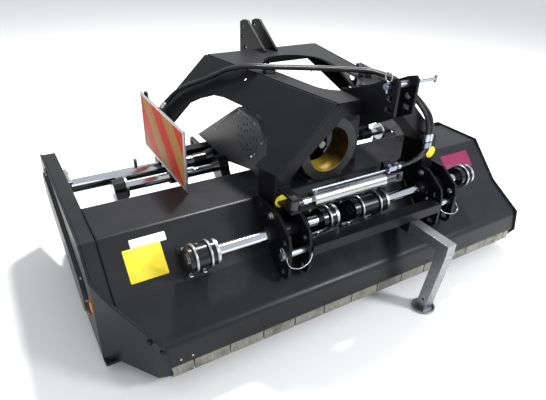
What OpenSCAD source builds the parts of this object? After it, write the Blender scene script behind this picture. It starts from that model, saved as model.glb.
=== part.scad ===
// Flail mower with a side-shift headstock, parked on its rear roller and its stand
// X runs along the rotor, Y from the front hitch to the rear roller, Z up from the ground

/* [Hood] */
// Width of the pressed hood between its left case and its right plate
hood_w = 2062; // [1900:2:2300]
// Thickness of the hood sheet
hood_t = 6; // [4:1:8]
// Height of the hood's flat top
top_z = 515; // [480:5:560]
// Front of the lip at its lower edge
lip_y = -84; // [-110:2:-60]
// Height of the lip's lower edge
lip_z = 140; // [120:2:160]
// Height of the fold above the lip
lip_fold_z = 234; // [220:2:250]
// Depth of the fold above the lip behind the lip's edge
lip_lean = 18; // [8:1:30]
// Front to rear place of the fold half way up the hood
mid_fold_y = 115; // [90:5:140]
// Height of the fold half way up the hood
mid_fold_z = 342; // [320:2:365]
// Front edge of the flat top
top_front_y = 286; // [270:2:310]
// Rear edge of the flat top
top_rear_y = 530; // [520:5:560]
// How far the rear slope runs back and down
rear_drop = 235; // [200:5:240]
// Outer radius of the fold above the lip
lip_fold_r = 45; // [20:1:50]
// Outer radius of the folds beside the flat top
top_fold_r = 20; // [12:1:25]

/* [Ends] */
// Thickness of the end plates
plate_t = 8; // [6:1:12]
// Width of the belt case on the left end
case_w = 67; // [60:1:80]
// Depth of the pressed belt cover outside the case
cover_d = 16; // [12:1:24]
// Sheet thickness of the belt case and cover
case_t = 5; // [3:1:6]
// Width of a wear skid
skid_w = 56; // [40:2:70]
// Height of the skids' underside
skid_z = 28; // [20:1:36]
// Thickness of a wear skid
skid_t = 10; // [8:1:14]

/* [Rotor] */
// Front to rear place of the rotor's axis
rotor_y = 380; // [370:2:390]
// Height of the rotor's axis
rotor_z = 240; // [235:1:250]
// Radius of the rotor tube
rotor_r = 66; // [60:1:72]
// Radius that the hammers sweep
swing_r = 198; // [180:2:200]
// Number of hammers
hammer_count = 22; // [16:1:26]
// Width of a hammer along the rotor
hammer_w = 84; // [60:2:90]
// Radius of a hammer's bolt
hammer_bolt_r = 8; // [6:0.5:10]
// Radius of the rotor's stub shafts
stub_r = 25; // [22:1:30]
// Radius of the rotor's pulley
rotor_pulley_r = 64; // [56:1:70]

/* [Roller] */
// Radius of the rear roller
roller_r = 100; // [90:2:110]
// Front to rear place of the roller's axis
roller_y = 980; // [960:5:1000]
// Radius of the roller's stub shafts
roller_stub_r = 20; // [16:1:24]

/* [Front flaps] */
// Width of a front flap with its gap
flap_pitch = 150; // [140:1:160]
// Gap between neighbouring flaps
flap_gap = 6; // [5:0.5:10]
// Width of the short flap at the left end
short_flap_w = 96; // [80:2:110]
// Radius of the flaps' hinge rod
rod_r = 6; // [5:0.5:7]
// Height of the flaps' lower edge
flap_z = 72; // [66:1:100]

/* [Drive] */
// Height of the input shaft
input_z = 668; // [660:1:680]
// Front to rear place of the gearbox's cross shaft
gearbox_y = 550; // [540:2:560]
// Front to rear place of the drive tube
tube_y = 950; // [945:1:955]
// Height of the drive tube
tube_z = 403; // [400:1:406]
// Radius of the drive tube
tube_r = 32.5; // [30:0.5:35]
// Radius of the drive shaft inside the tube
drive_r = 20; // [17:0.5:22]
// Radius of the drive pulley
drive_pulley_r = 80; // [72:1:81]
// Radius of the splined input shaft over its splines
input_r = 17.5; // [15:0.5:20]
// Radius of the round guard about the input shaft
ring_r = 150; // [135:1:151]
// Radius of the guard's mouth
mouth_r = 106; // [95:1:115]
// Half width of the gearbox guard
guard_half_w = 267; // [255:1:267]
// Height of the gearbox guard's top
guard_z = 785; // [775:1:800]
// Sheet thickness of the gearbox guard
guard_t = 3; // [2:0.5:4]

/* [Side shift] */
// Place of the headstock to the right of the deck's middle
shift_rest = 70; // [60:1:80]
// Radius of the guide bars
bar_r = 22.5; // [20:0.5:25]
// Front to rear place of the front guide bars
front_bar_y = 80; // [78:1:84]
// Height of the front guide bars
front_bar_z = 466; // [462:1:470]
// Front to rear place of the rear guide bars
rear_bar_y = 800; // [790:2:806]
// Height of the rear guide bars
rear_bar_z = 418; // [412:1:422]
// Wall of the sleeves that slide on the guide bars
sleeve_wall = 10.5; // [8:0.5:12]
// Length of a front sleeve
front_sleeve_l = 190; // [160:2:192]
// Length of a rear sleeve
rear_sleeve_l = 90; // [70:2:92]
// Distance from the middle to each rear sleeve
rear_sleeve_x = 600; // [598:1:602]
// Height of the side-shift cylinder
cyl_z = 600; // [598:1:606]
// Front to rear place of the side-shift cylinder
cyl_y = 47; // [44:1:50]
// Radius of the cylinder's barrel
barrel_r = 31; // [28:0.5:33]
// Radius of the cylinder's rod
piston_rod_r = 14; // [12:0.5:16]

/* [Headstock] */
// Distance from the middle to each lower hitch point
hitch_x = 412.5; // [410:0.5:415]
// Gap between the two plates of a lower hitch point
hitch_gap = 82; // [74:1:84]
// Thickness of a lower hitch plate
hitch_t = 12; // [10:1:14]
// Radius of the hitch pin holes
hitch_hole_r = 14.35; // [11:0.05:14.5]
// Height of the upper hitch hole
upper_hole_z = 462; // [460:1:466]
// Height of the middle hitch hole
mid_hole_z = 406; // [404:1:408]
// Height of the lower hitch hole
low_hole_z = 323; // [320:1:326]
// Front face of the headstock's front frame
portal_y = 129; // [126:1:132]
// Depth of the front frame
portal_d = 136; // [120:2:138]
// Distance from the middle to the outside of a front leg
leg_x = 439.5; // [438:0.5:441]
// Height of the fold where the front legs lean inwards
crease_z = 691; // [680:1:700]
// Height of the headstock's top
head_z = 942; // [930:1:950]
// Half width of the top at the front
head_front_x = 178; // [170:1:184]
// Half width of the top at the rear
head_rear_x = 336; // [326:1:346]
// Rear face of the headstock
head_rear_y = 1015; // [1012:1:1018]
// Distance from the middle to the outside of a rear leg
rear_leg_x = 625; // [620:1:630]
// Thickness of the headstock's plates
head_t = 8; // [6:1:10]
// Width of a rear leg
rear_leg_w = 60; // [50:1:62]
// Gap between the front mast's two plates
mast_gap = 81; // [70:1:84]
// Gap between the rear mast's two plates
rear_mast_gap = 60; // [52:1:64]
// Thickness of a mast plate
mast_t = 12; // [10:1:14]
// Radius of the top link holes
top_hole_r = 12.7; // [9.5:0.05:13]
// Height of the front top link hole
top_hole_z = 1034.5; // [1030:0.5:1036]

/* [Stand and boards] */
// Width of the stand's square tube
stand_w = 50; // [45:1:52]
// Distance of the stand to the right of the middle
stand_x = 198; // [190:1:206]
// Front face of the stand's leg
stand_front_y = -262; // [-280:2:-250]
// Radius of the stand's foot
foot_r = 52; // [40:1:55]
// Front to rear place of the stand's foot
foot_y = -197; // [-206:1:-190]
// Length of a warning board
board_l = 564; // [540:2:570]
// Height of a warning board
board_h = 282; // [276:2:286]
// Thickness of a warning board
board_t = 3; // [2:0.5:4]
// Turn of the right board towards the headstock
board_yaw = 9.2; // [0:0.2:10]

/* [Fits] */
// Clearance round a turning shaft or a sliding bar
run_fit = 0.08; // [0.02:0.01:0.1]
// Gap between round pieces that are fixed together
seat_fit = 0.05; // [0.02:0.01:0.1]
// Gap between pieces that move past each other
free_gap = 0.3; // [0.3:0.1:1]

/* [Hidden] */
$fn = 64;

// Hood and ends along X, measured from the headstock's middle
deck_x = -shift_rest;
hood_left = deck_x - hood_w / 2 - 4;
hood_right = deck_x + hood_w / 2 - 4;
right_out = hood_right + plate_t;
case_out = hood_left - case_w;
cover_out = case_out - cover_d;
corner_mid_x = hood_left + 78;
corner_low_x = hood_left + 119;

// Folds of the hood's outline, front to rear
lip_fold_y = lip_y + lip_lean;
rear_fold_y = top_rear_y + rear_drop;
rear_fold_z = top_z - rear_drop;
hood_line = [
    [lip_y, lip_z], [lip_fold_y, lip_fold_z], [mid_fold_y, mid_fold_z], [top_front_y, top_z],
    [top_rear_y, top_z], [rear_fold_y, rear_fold_z], [rear_fold_y + 55, rear_fold_z - 80]
];

// Belt drive
belt_x0 = case_out - 4;
belt_x1 = hood_left - plate_t - 8;
belt_count = 3;
belt_t = 8;

// Guide bars and their supports along X
front_left_bar = [-840, -175];
front_right_bar = [-85, 660];
rear_left_bar = [-920, -340];
rear_right_bar = [290, 790];
front_brackets = [[-836, -721], [-250, -175], [-85, 102], [582, 660]];
rear_brackets = [[-920, -854], [-390, -340], [290, 350], [715, 790]];
collar_t = 12;
sleeve_r = bar_r + sleeve_wall;

// Direction along the hood's front slope, and the angle of that slope
slope_run = top_front_y - mid_fold_y;
slope_rise = top_z - mid_fold_z;
slope_a = atan2(slope_rise, slope_run);

// Hitch plates
hitch_in = hitch_x - hitch_gap / 2;
hitch_out = hitch_x + hitch_gap / 2;

// Slanted side panel: the plane through the lower and upper front corners and the upper rear corner
panel_a = [leg_x, portal_y, crease_z];
panel_b = [head_front_x, portal_y, head_z];
panel_c = [head_rear_x, head_rear_y, head_z];
panel_n = unit(cross(panel_a - panel_b, panel_c - panel_b));
panel_u = unit(panel_c - panel_b);
panel_v = cross(panel_n, panel_u);
rear_crease_z = panel_z(rear_leg_x, head_rear_y);

// Boards
board_z = 518;
board_x = 660;
board_y = head_rear_y - 15;
post_r = 10;

// Overall box, used to put the origin under the middle
x_low = cover_out;
x_high = right_out;
y_low = stand_front_y;
y_high = head_rear_y + 186;

function unit(v) = v / norm(v);
function left_of(v) = [-v[1], v[0]];
function reversed(p) = [for (i = [len(p) - 1:-1:0]) p[i]];
// Step from an outer corner to the inner corner of a bent sheet
function mitre(a, b, t) = let (m = left_of(unit(a)), n = left_of(unit(b))) (m + n) * t / (1 + m * n);
function offset_line(p, t) = [for (i = [0:len(p) - 1]) p[i] + (
    i == 0 ? left_of(unit(p[1] - p[0])) * t :
    i == len(p) - 1 ? left_of(unit(p[i] - p[i - 1])) * t :
    mitre(p[i] - p[i - 1], p[i + 1] - p[i], t))];
function offset_ring(p, t) = let (n = len(p)) [for (i = [0:n - 1])
    p[i] + mitre(p[i] - p[(i + n - 1) % n], p[(i + 1) % n] - p[i], t)];
// Outline of a strap laid round two circles, counter-clockwise from the first circle's underside
function strap(c1, r1, c2, r2, steps = 14) = let (
    d = c2 - c1,
    base = atan2(d[1], d[0]),
    open = acos((r1 - r2) / norm(d)))
    concat(
        [for (i = [0:steps]) let (a = base + open + i * (360 - 2 * open) / steps) c1 + r1 * [cos(a), sin(a)]],
        [for (i = [0:steps]) let (a = base - open + i * 2 * open / steps) c2 + r2 * [cos(a), sin(a)]]);
// Height of the hood's outside at a place on its front
function hood_z(y) = y < mid_fold_y
    ? lip_fold_z + (y - lip_fold_y) * (mid_fold_z - lip_fold_z) / (mid_fold_y - lip_fold_y)
    : mid_fold_z + (y - mid_fold_y) * slope_rise / slope_run;
function rear_z(y) = top_z - (y - top_rear_y);
// Height of the right side panel's outside above a place in plan
function panel_z(x, y) = panel_a[2]
    - (panel_n[0] * (x - panel_a[0]) + panel_n[1] * (y - panel_a[1])) / panel_n[2];
function panel_x(y, z) = panel_a[0]
    - (panel_n[1] * (y - panel_a[1]) + panel_n[2] * (z - panel_a[2])) / panel_n[0];
// A place on the panel in the panel's own directions
function on_panel(y, z) = let (p = [panel_x(y, z), y, z] - panel_b) [p * panel_u, p * panel_v];

module placed() translate([-(x_low + x_high) / 2, -(y_low + y_high) / 2, 0]) children();
// Extrudes an outline of Y and Z along X
module along_x(x0, x1) translate([x0, 0, 0]) rotate([90, 0, 90]) linear_extrude(x1 - x0) children();
// Extrudes an outline of X and Z along Y
module along_y(y0, y1) translate([0, y1, 0]) rotate([90, 0, 0]) linear_extrude(y1 - y0) children();
module along_z(z0, z1) translate([0, 0, z0]) linear_extrude(z1 - z0) children();
module bar_x(x0, x1, y, z, r) translate([x0, y, z]) rotate([0, 90, 0]) cylinder(h = x1 - x0, r = r);
module bar_y(y0, y1, x, z, r) translate([x, y0, z]) rotate([-90, 0, 0]) cylinder(h = y1 - y0, r = r);
module bar_z(z0, z1, x, y, r) translate([x, y, z0]) cylinder(h = z1 - z0, r = r);
module box(x0, x1, y0, y1, z0, z1) translate([x0, y0, z0]) cube([x1 - x0, y1 - y0, z1 - z0]);
module both_sides() { children(); mirror([1, 0, 0]) children(); }
module bent_sheet(line, t) polygon(concat(line, reversed(offset_line(line, t))));
// A plate's outline with round corners: circles at the corners, joined by the straight outline
module rounded_plate(points, r) {
    inner = offset_ring(points, r);
    n = len(points);
    union() {
        polygon(inner);
        for (i = [0:n - 1]) {
            a = inner[i];
            b = inner[(i + 1) % n];
            out = left_of(unit(b - a)) * -r;
            polygon([a, a + out, b + out, b]);
            translate(a) circle(r = r, $fn = 32);
        }
    }
}

// Hood and ends

corner_plan = [
    [case_out, 1180], [case_out, mid_fold_y + 65], [corner_mid_x, lip_fold_y + 36], [corner_low_x, lip_y - 16]
];

// Everything in plan that lies inside the bent left end plate
module inside_corner() along_z(0, top_z + 10)
    polygon(concat(offset_line(corner_plan, plate_t), [[hood_right, lip_y - 16], [hood_right, 1180]]));

// The corner at b between a and c as an arc of radius r, or as it is where r is zero
function arc_at(a, b, c, r, steps = 5) = let (
    u = unit(a - b),
    v = unit(c - b),
    half = acos(u * v) / 2,
    centre = b + unit(u + v) * r / sin(half),
    from = b + u * r / tan(half) - centre,
    side = left_of(from) * (b + v * r / tan(half) - centre) > 0 ? 1 : -1
) r == 0 ? [b] : [
    for (k = [0:steps]) let (t = side * k / steps * (180 - 2 * half))
        centre + [from[0] * cos(t) - from[1] * sin(t), from[0] * sin(t) + from[1] * cos(t)]
];

// An outline with its folds turned into arcs, one radius for each inner point
function curved(line, radii) = concat(
    [line[0]],
    [for (i = [1:len(line) - 2]) each arc_at(line[i - 1], line[i], line[i + 1], radii[i - 1])],
    [line[len(line) - 1]]
);

module hood_shell() placed() color("#26282b")
    intersection() {
        along_x(hood_left, hood_right)
            bent_sheet(reversed(curved(hood_line, [lip_fold_r, 0, top_fold_r, top_fold_r, top_fold_r])), hood_t);
        inside_corner();
    }

// Outline of the skids' underside, front to rear
skid_rear_y = roller_y - 150;
right_skid_line = [[-20, skid_z + 18], [10, skid_z], [skid_rear_y, skid_z], [skid_rear_y + 32, skid_z + 22]];
left_skid_line = [[110, skid_z + 30], [150, skid_z], [skid_rear_y, skid_z], [skid_rear_y + 32, skid_z + 22]];

// Outline of the space inside the belt drive
belt_ring = strap([rotor_y, rotor_z], rotor_pulley_r + belt_t + 24, [tube_y, tube_z], drive_pulley_r + belt_t + 6);

module left_end_plate() placed() color("#232528")
    difference() {
        intersection() {
            along_z(0, top_z + 20) bent_sheet(corner_plan, plate_t);
            along_x(case_out - 1, corner_low_x + 40) polygon(concat(
                [[lip_y - 16, lip_z - 20], [-40, 64]], offset_line(left_skid_line, skid_t), [
                [1180, 200], [1180, top_z - 50], [1130, top_z], [top_front_y - 2, top_z],
                [mid_fold_y - 5, mid_fold_z + 5], [lip_fold_y - 5, lip_fold_z + 6], [lip_y - 6, lip_z + 2]
            ]));
        }
        along_x(case_out - 2, case_out + plate_t + 1) polygon(belt_ring);
    }

module right_end_plate() placed() color("#232528")
    difference() {
        along_x(hood_right, right_out) polygon(concat(
            [[lip_y - 8, lip_z - 4], [-56, 72]], offset_line(right_skid_line, skid_t), [
            [1060, 90], [1090, 150], [1080, 250], [900, 330], [top_rear_y + 30, top_z + 8],
            [top_front_y - 3, top_z + 8], [mid_fold_y - 6, mid_fold_z + 6], [lip_fold_y - 8, lip_fold_z + 8]
        ]));
        bar_x(hood_right - 1, right_out + 1, rotor_y, rotor_z, stub_r + 6);
        for (y = [60, 620]) bar_x(hood_right - 1, right_out + 1, y, 90, 6);
    }

module belt_case() placed() color("#202225") {
    wall_x = hood_left - plate_t;
    outline = [
        [100, 260], [260, 120], [420, 110], [1070, 285], [1172, 300], [1172, top_z - 54], [1128, top_z - case_t],
        [top_front_y + 3, top_z - case_t], [mid_fold_y + 3, mid_fold_z - case_t], [86, 310]
    ];
    intersection() {
        union() {
            difference() {
                along_x(wall_x, hood_left) polygon(outline);
                bar_x(wall_x - 1, hood_left + 1, rotor_y, rotor_z, stub_r + 6);
                bar_x(wall_x - 1, hood_left + 1, tube_y, tube_z, drive_r + 6);
            }
            difference() {
                along_x(case_out + plate_t, wall_x) polygon(outline);
                along_x(case_out + plate_t - 1, wall_x) polygon(offset_ring(outline, case_t));
            }
        }
        inside_corner();
    }
}

module belt_cover() placed() color("#2b2d30") {
    difference() {
        union() {
            hull() {
                along_x(case_out - 5, case_out) polygon(belt_ring);
                along_x(cover_out, cover_out + 1) polygon(offset_ring(belt_ring, 6));
            }
            along_x(case_out - 4, case_out) polygon(offset_ring(belt_ring, -14));
        }
        hull() {
            along_x(case_out - 5, case_out + 1) polygon(offset_ring(belt_ring, 4));
            along_x(cover_out + 4, cover_out + 5) polygon(offset_ring(belt_ring, 8));
        }
    }
}

module drive_belts() placed() color("#111214") {
    pitch = (belt_x1 - belt_x0) / belt_count;
    inner = strap([rotor_y, rotor_z], rotor_pulley_r + free_gap, [tube_y, tube_z], drive_pulley_r + free_gap);
    for (i = [0:belt_count - 1])
        along_x(belt_x0 + i * pitch + 2, belt_x0 + (i + 1) * pitch - 2)
            difference() {
                polygon(offset_ring(inner, -belt_t));
                polygon(inner);
            }
}

module skids() placed() color("#17181a") {
    along_x(right_out - skid_w, right_out) bent_sheet(right_skid_line, skid_t);
    along_x(case_out, case_out + skid_w) bent_sheet(left_skid_line, skid_t);
}

module counter_blade() placed() color("#5b5d60") {
    blade_y = 150;
    under = hood_t / cos(slope_a);
    along_x(hood_left + 0.5, hood_right - 0.5) polygon([
        [blade_y, 300], [blade_y + 12, 300],
        [blade_y + 12, hood_z(blade_y + 12) - under], [blade_y, hood_z(blade_y) - under]
    ]);
}

// Front flaps

rod_y = lip_y + 22;
rod_z = lip_z + 18;
flap_left = corner_low_x + 1;
roll_r = rod_r + 3;
// Left edges of the flaps: one short flap, full flaps, and a last one that ends at the right plate
last_flap_min = 20;
flap_edges = concat(
    [flap_left],
    [for (i = [0:12])
        let (x = flap_left + short_flap_w + i * flap_pitch) if (x < hood_right - 2 - last_flap_min) x],
    [hood_right - 2]
);

// Inside of the lip at a height
function lip_in(z) = lip_y + lip_lean * (z - lip_z) / (lip_fold_z - lip_z)
    + hood_t / cos(atan2(lip_lean, lip_fold_z - lip_z));

module flap_hinge_rod() placed() color("#8c8f93") {
    bar_x(flap_left - 4, hood_right, rod_y, rod_z, rod_r);
    for (i = [2:2:len(flap_edges) - 2])
        difference() {
            along_x(flap_edges[i] - 1.5, flap_edges[i] + 1.5) polygon([
                [rod_y - 10, rod_z - 12], [rod_y + 14, rod_z - 12], [rod_y + 14, rod_z + 10],
                [lip_in(rod_z + 34), rod_z + 34], [lip_in(rod_z - 8), rod_z - 8]
            ]);
            bar_x(flap_edges[i] - 3, flap_edges[i] + 3, rod_y, rod_z, rod_r + seat_fit);
        }
}

module flap(x0, x1) difference() {
    union() {
        bar_x(x0, x1, rod_y, rod_z, roll_r);
        along_x(x0, x1) polygon([
            [rod_y - 7, flap_z], [rod_y + 1, flap_z], [rod_y + 3, flap_z + 8], [rod_y + 3, rod_z - 6],
            [rod_y - 7, rod_z - 3]
        ]);
    }
    bar_x(x0 - 1, x1 + 1, rod_y, rod_z, rod_r + run_fit);
}

module flap_pair(n) placed() color("#6f6d5f")
    for (i = [2 * n - 2:min(2 * n, len(flap_edges) - 1) - 1])
        flap(flap_edges[i] + flap_gap / 2, flap_edges[i + 1] - flap_gap / 2);

module front_flaps_1() flap_pair(1);
module front_flaps_2() flap_pair(2);
module front_flaps_3() flap_pair(3);
module front_flaps_4() flap_pair(4);
module front_flaps_5() flap_pair(5);
module front_flaps_6() flap_pair(6);
module front_flaps_7() flap_pair(7);

module rear_rubber_flap() placed() color("#151515") {
    end = hood_line[6];
    down = unit(end - hood_line[5]);
    out = left_of(down);
    along_x(hood_left + 20, hood_right - 20) polygon([
        end, end - 36 * down, end - 36 * down + 7 * out, end + 7 * out, [end[0] + 16, 60], [end[0] + 8, 60]
    ]);
}

// Roller

bracket_t = 12;

module roller_brackets() placed() color("#1d1f21")
    for (x = [hood_left, hood_right - bracket_t])
        difference() {
            along_x(x, x + bracket_t) rounded_plate([[roller_y - 150, 86], [roller_y - 20, 50],
                [roller_y + 50, 60], [roller_y + 55, 150], [roller_y - 40, 230], [roller_y - 160, 250]], 12);
            bar_x(x - 1, x + bracket_t + 1, roller_y, roller_r, roller_stub_r + run_fit);
        }

module rear_roller() placed() color("#2a2c2e") {
    x0 = hood_left + bracket_t + 13;
    x1 = hood_right - bracket_t - 13;
    difference() {
        bar_x(x0, x1, roller_y, roller_r, roller_r);
        bar_x(x0 + 12, x1 - 12, roller_y, roller_r, roller_r - 9);
    }
    bar_x(hood_left + 1, hood_right - 1, roller_y, roller_r, roller_stub_r);
}

// Rotor

module rotor_bearings() placed() color("#3b3d40")
    for (side = [[hood_left, hood_left + 30], [hood_right - 30, hood_right]])
        difference() {
            bar_x(side[0], side[1], rotor_y, rotor_z, 56);
            bar_x(side[0] - 1, side[1] + 1, rotor_y, rotor_z, stub_r + run_fit);
        }

rotor_x0 = hood_left + 40;
rotor_x1 = hood_right - 40;
hammer_pitch = (rotor_x1 - rotor_x0 - hammer_w - 20) / (hammer_count - 1);
hammer_pivot_r = rotor_r + 24;
lug_t = 8;
lug_gap = 30;

module at_hammer(i)
    translate([rotor_x0 + hammer_w / 2 + 10 + i * hammer_pitch, rotor_y, rotor_z])
        rotate([i * 90, 0, 0]) translate([0, 0, hammer_pivot_r]) children();

module rotor_tube() placed() color("#3a3b3d") {
    difference() {
        bar_x(rotor_x0, rotor_x1, rotor_y, rotor_z, rotor_r);
        bar_x(rotor_x0 + 12, rotor_x1 - 12, rotor_y, rotor_z, rotor_r - 9);
    }
    bar_x(belt_x0, rotor_x0 + 6, rotor_y, rotor_z, stub_r);
    bar_x(rotor_x1 - 6, hood_right + plate_t - 1, rotor_y, rotor_z, stub_r);
    for (i = [0:hammer_count - 1]) at_hammer(i)
        for (s = [-1, 1]) translate([s * (lug_gap + lug_t) / 2 - lug_t / 2, 0, 0])
            difference() {
                rotate([90, 0, 90]) linear_extrude(lug_t) polygon([
                    [-24, rotor_r - hammer_pivot_r - 6], [24, rotor_r - hammer_pivot_r - 6],
                    [16, 8], [8, 15], [-8, 15], [-16, 8]
                ]);
                rotate([0, 90, 0]) translate([0, 0, -1]) cylinder(h = lug_t + 2, r = hammer_bolt_r + seat_fit);
            }
}

// A hammer: a ring about its bolt, and a wide curved head that ends at the swept radius
module hammers() placed() color("#4a4743")
    for (i = [0:hammer_count - 1]) at_hammer(i) {
        reach = swing_r - hammer_pivot_r;
        difference() {
            union() {
                rotate([0, 90, 0]) translate([0, 0, -lug_gap / 2 + 1]) cylinder(h = lug_gap - 2, r = 17);
                translate([-lug_gap / 2 + 1, -9, 4]) cube([lug_gap - 2, 20, reach * 0.4]);
                translate([-hammer_w / 2, 0, 0]) rotate([90, 0, 90]) linear_extrude(hammer_w) polygon([
                    [-12, 26], [14, 26], [22, reach * 0.55], [17, reach * 0.8], [0, reach - 3], [-14, reach - 6],
                    [-8, reach * 0.75], [-8, reach * 0.5]
                ]);
            }
            rotate([0, 90, 0]) translate([0, 0, -lug_gap]) cylinder(h = 2 * lug_gap, r = hammer_bolt_r + seat_fit);
        }
    }

module hammer_bolts() placed() color("#8f9194")
    for (i = [0:hammer_count - 1]) at_hammer(i) rotate([0, 90, 0]) {
        half = lug_gap / 2 + lug_t;
        translate([0, 0, -half]) cylinder(h = 2 * half, r = hammer_bolt_r);
        translate([0, 0, half]) cylinder(h = 7, r = 13, $fn = 6);
        translate([0, 0, -half - 9]) cylinder(h = 9, r = 13, $fn = 6);
    }

// A pulley with one groove for each belt
module grooved_pulley(r, bore, y, z) {
    pitch = (belt_x1 - belt_x0) / belt_count;
    groove = [for (i = [0:belt_count - 1]) each [
        [r, i * pitch + 1], [r - 7, i * pitch + 5], [r - 7, (i + 1) * pitch - 5], [r, (i + 1) * pitch - 1]]];
    translate([belt_x0, y, z]) rotate([0, 90, 0]) rotate_extrude()
        polygon(concat([[bore, 0], [r, 0]], groove, [[r, belt_count * pitch], [bore, belt_count * pitch]]));
}

module rotor_pulley() placed() color("#5a5c5f")
    grooved_pulley(rotor_pulley_r, stub_r + seat_fit, rotor_y, rotor_z);

module drive_pulley() placed() color("#5a5c5f")
    grooved_pulley(drive_pulley_r, drive_r + seat_fit, tube_y, tube_z);

// Drive

// The drop case stands just inside the gearbox guard's left wall
drop_w = 68;
drop_x0 = deck_x - guard_half_w + guard_t + 4;
drop_x1 = drop_x0 + drop_w;
flange_t = 20;

module drive_shaft() placed() color("#9a9da0")
    bar_x(belt_x0, drop_x0 + 40, tube_y, tube_z, drive_r);

module drive_tube() placed() color("#c9ccd0") {
    difference() {
        union() {
            bar_x(hood_left + flange_t, drop_x0 - 130, tube_y, tube_z, tube_r);
            bar_z(tube_z + tube_r - 4, tube_z + tube_r + 44, -764, tube_y, 9);
        }
        bar_x(hood_left + flange_t - 1, drop_x0 - 129, tube_y, tube_z, tube_r - 6);
    }
    difference() {
        along_x(hood_left, hood_left + flange_t)
            rounded_plate([[tube_y - 72, tube_z - 62], [tube_y + 72, tube_z - 62],
                [tube_y + 72, tube_z + 66], [tube_y - 72, tube_z + 66]], 14);
        bar_x(hood_left - 1, hood_left + flange_t + 1, tube_y, tube_z, drive_r + run_fit);
    }
}

module gearbox_housing() placed() color("#1b1c1e")
    difference() {
        union() {
            along_y(gearbox_y - 105, gearbox_y + 105) translate([deck_x, input_z])
                polygon([[-88, -104], [88, -104], [112, -80], [112, 68], [88, 92], [-88, 92], [-112, 68],
                    [-112, -80]]);
            box(deck_x - 96, deck_x + 96, gearbox_y - 105, top_rear_y, top_z, input_z - 90);
            bar_y(gearbox_y - 128, gearbox_y - 105, deck_x, input_z, 62);
            bar_y(gearbox_y + 105, gearbox_y + 118, deck_x, input_z, 62);
            bar_x(deck_x + 112, deck_x + 126, gearbox_y, input_z, 62);
            bar_x(drop_x1, deck_x - 112, gearbox_y, input_z, 58);
            along_x(drop_x0, drop_x1)
                polygon(strap([gearbox_y, input_z], 78, [tube_y, tube_z], 50));
            translate([drop_x0, tube_y, tube_z]) rotate([0, -90, 0]) rotate_extrude()
                polygon([[drive_r + 6, -1], [48, -1], [48, 24], [38, 60], [tube_r + 4, 130], [drive_r + 6, 130]]);
        }
        bar_y(gearbox_y - 129, gearbox_y - 20, deck_x, input_z, input_r + 4 + run_fit);
        bar_x(drop_x0 - 1, drop_x0 + 41, tube_y, tube_z, drive_r + run_fit);
    }

// Splined shaft: a journal inside the gearbox and six splines in front of it
module input_shaft() placed() color("#a5a8ab") {
    bar_y(gearbox_y - 126, gearbox_y - 22, deck_x, input_z, input_r + 4);
    difference() {
        bar_y(gearbox_y - 216, gearbox_y - 126, deck_x, input_z, input_r);
        for (a = [0:60:300]) translate([deck_x, gearbox_y - 217, input_z]) rotate([0, a, 0])
            translate([-4, 0, input_r - 3]) cube([8, 70, 6]);
    }
}

guard_low = 456;
guard_line = [
    [gearbox_y - 150, top_z], [gearbox_y - 150, guard_z - 60], [gearbox_y - 90, guard_z],
    [gearbox_y + 100, guard_z], [head_rear_y + 144, guard_low]
];

module gearbox_guard() placed() color("#47494b") {
    x0 = deck_x - guard_half_w;
    x1 = deck_x + guard_half_w;
    side = concat(guard_line, [[rear_fold_y, guard_low], [top_rear_y, top_z]]);
    difference() {
        union() {
            along_x(x0, x1) bent_sheet(guard_line, -guard_t);
            along_x(x0, x0 + guard_t) polygon(side);
            along_x(x1 - guard_t, x1) polygon(side);
        }
        bar_y(gearbox_y - 170, gearbox_y - 140, deck_x, input_z, mouth_r);
        // Three rings of short slots that let the gearbox's warm air out
        for (ring = [[34, 6], [62, 10], [90, 14]])
            for (i = [0:ring[1] - 1])
                translate([x0 - 1, gearbox_y + 8, input_z]) rotate([i * 360 / ring[1], 0, 0])
                    translate([0, -9, ring[0] - 2.5]) cube([guard_t + 2, 18, 5]);
    }
}

// Round guard round the input shaft, with a saddle that stands on the hood
module driveline_guard() placed() color("#c9a43a") {
    front_y = gearbox_y - 270;
    back_y = gearbox_y - 150 - guard_t;
    difference() {
        union() {
            bar_y(front_y, back_y, deck_x, input_z, ring_r);
            box(deck_x - 96, deck_x + 96, front_y + 12, back_y, top_z, input_z - ring_r + 10);
        }
        bar_y(front_y + 14, back_y + 1, deck_x, input_z, ring_r - 5);
        bar_y(front_y - 1, front_y + 15, deck_x, input_z, mouth_r);
    }
    difference() {
        bar_y(front_y + 14, back_y, deck_x, input_z, mouth_r + 3);
        bar_y(front_y + 13, back_y + 1, deck_x, input_z, mouth_r);
    }
}

// Side shift

module guide_bars() placed() color("#d4d6d9") {
    for (s = [front_left_bar, front_right_bar]) bar_x(s[0], s[1], front_bar_y, front_bar_z, bar_r);
    for (s = [rear_left_bar, rear_right_bar]) bar_x(s[0], s[1], rear_bar_y, rear_bar_z, bar_r);
}

// Places a shape drawn about a front bar, with its -Z along the way to the hood's slope
module square_to_slope() translate([0, front_bar_y, front_bar_z]) rotate([slope_a, 0, 0]) children();
// Distance from a front bar down to the slope
bar_height = (front_bar_z - hood_z(mid_fold_y) - (front_bar_y - mid_fold_y) * slope_rise / slope_run) * cos(slope_a);
foot_t = 10;
bracket_r = 46;

module front_bracket(x0, x1) {
    difference() {
        square_to_slope() union() {
            bar_x(x0, x1, 0, 0, bracket_r);
            along_x(x0, x1) polygon([
                [-bracket_r, 0], [-38, -bar_height + foot_t], [38, -bar_height + foot_t], [bracket_r, 0]]);
            along_x(x0, x1) polygon([
                [-60, -bar_height], [62, -bar_height], [62, -bar_height + foot_t], [-60, -bar_height + foot_t]]);
        }
        bar_x(x0 - 1, x1 + 1, front_bar_y, front_bar_z, bar_r + seat_fit);
    }
}

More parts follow.
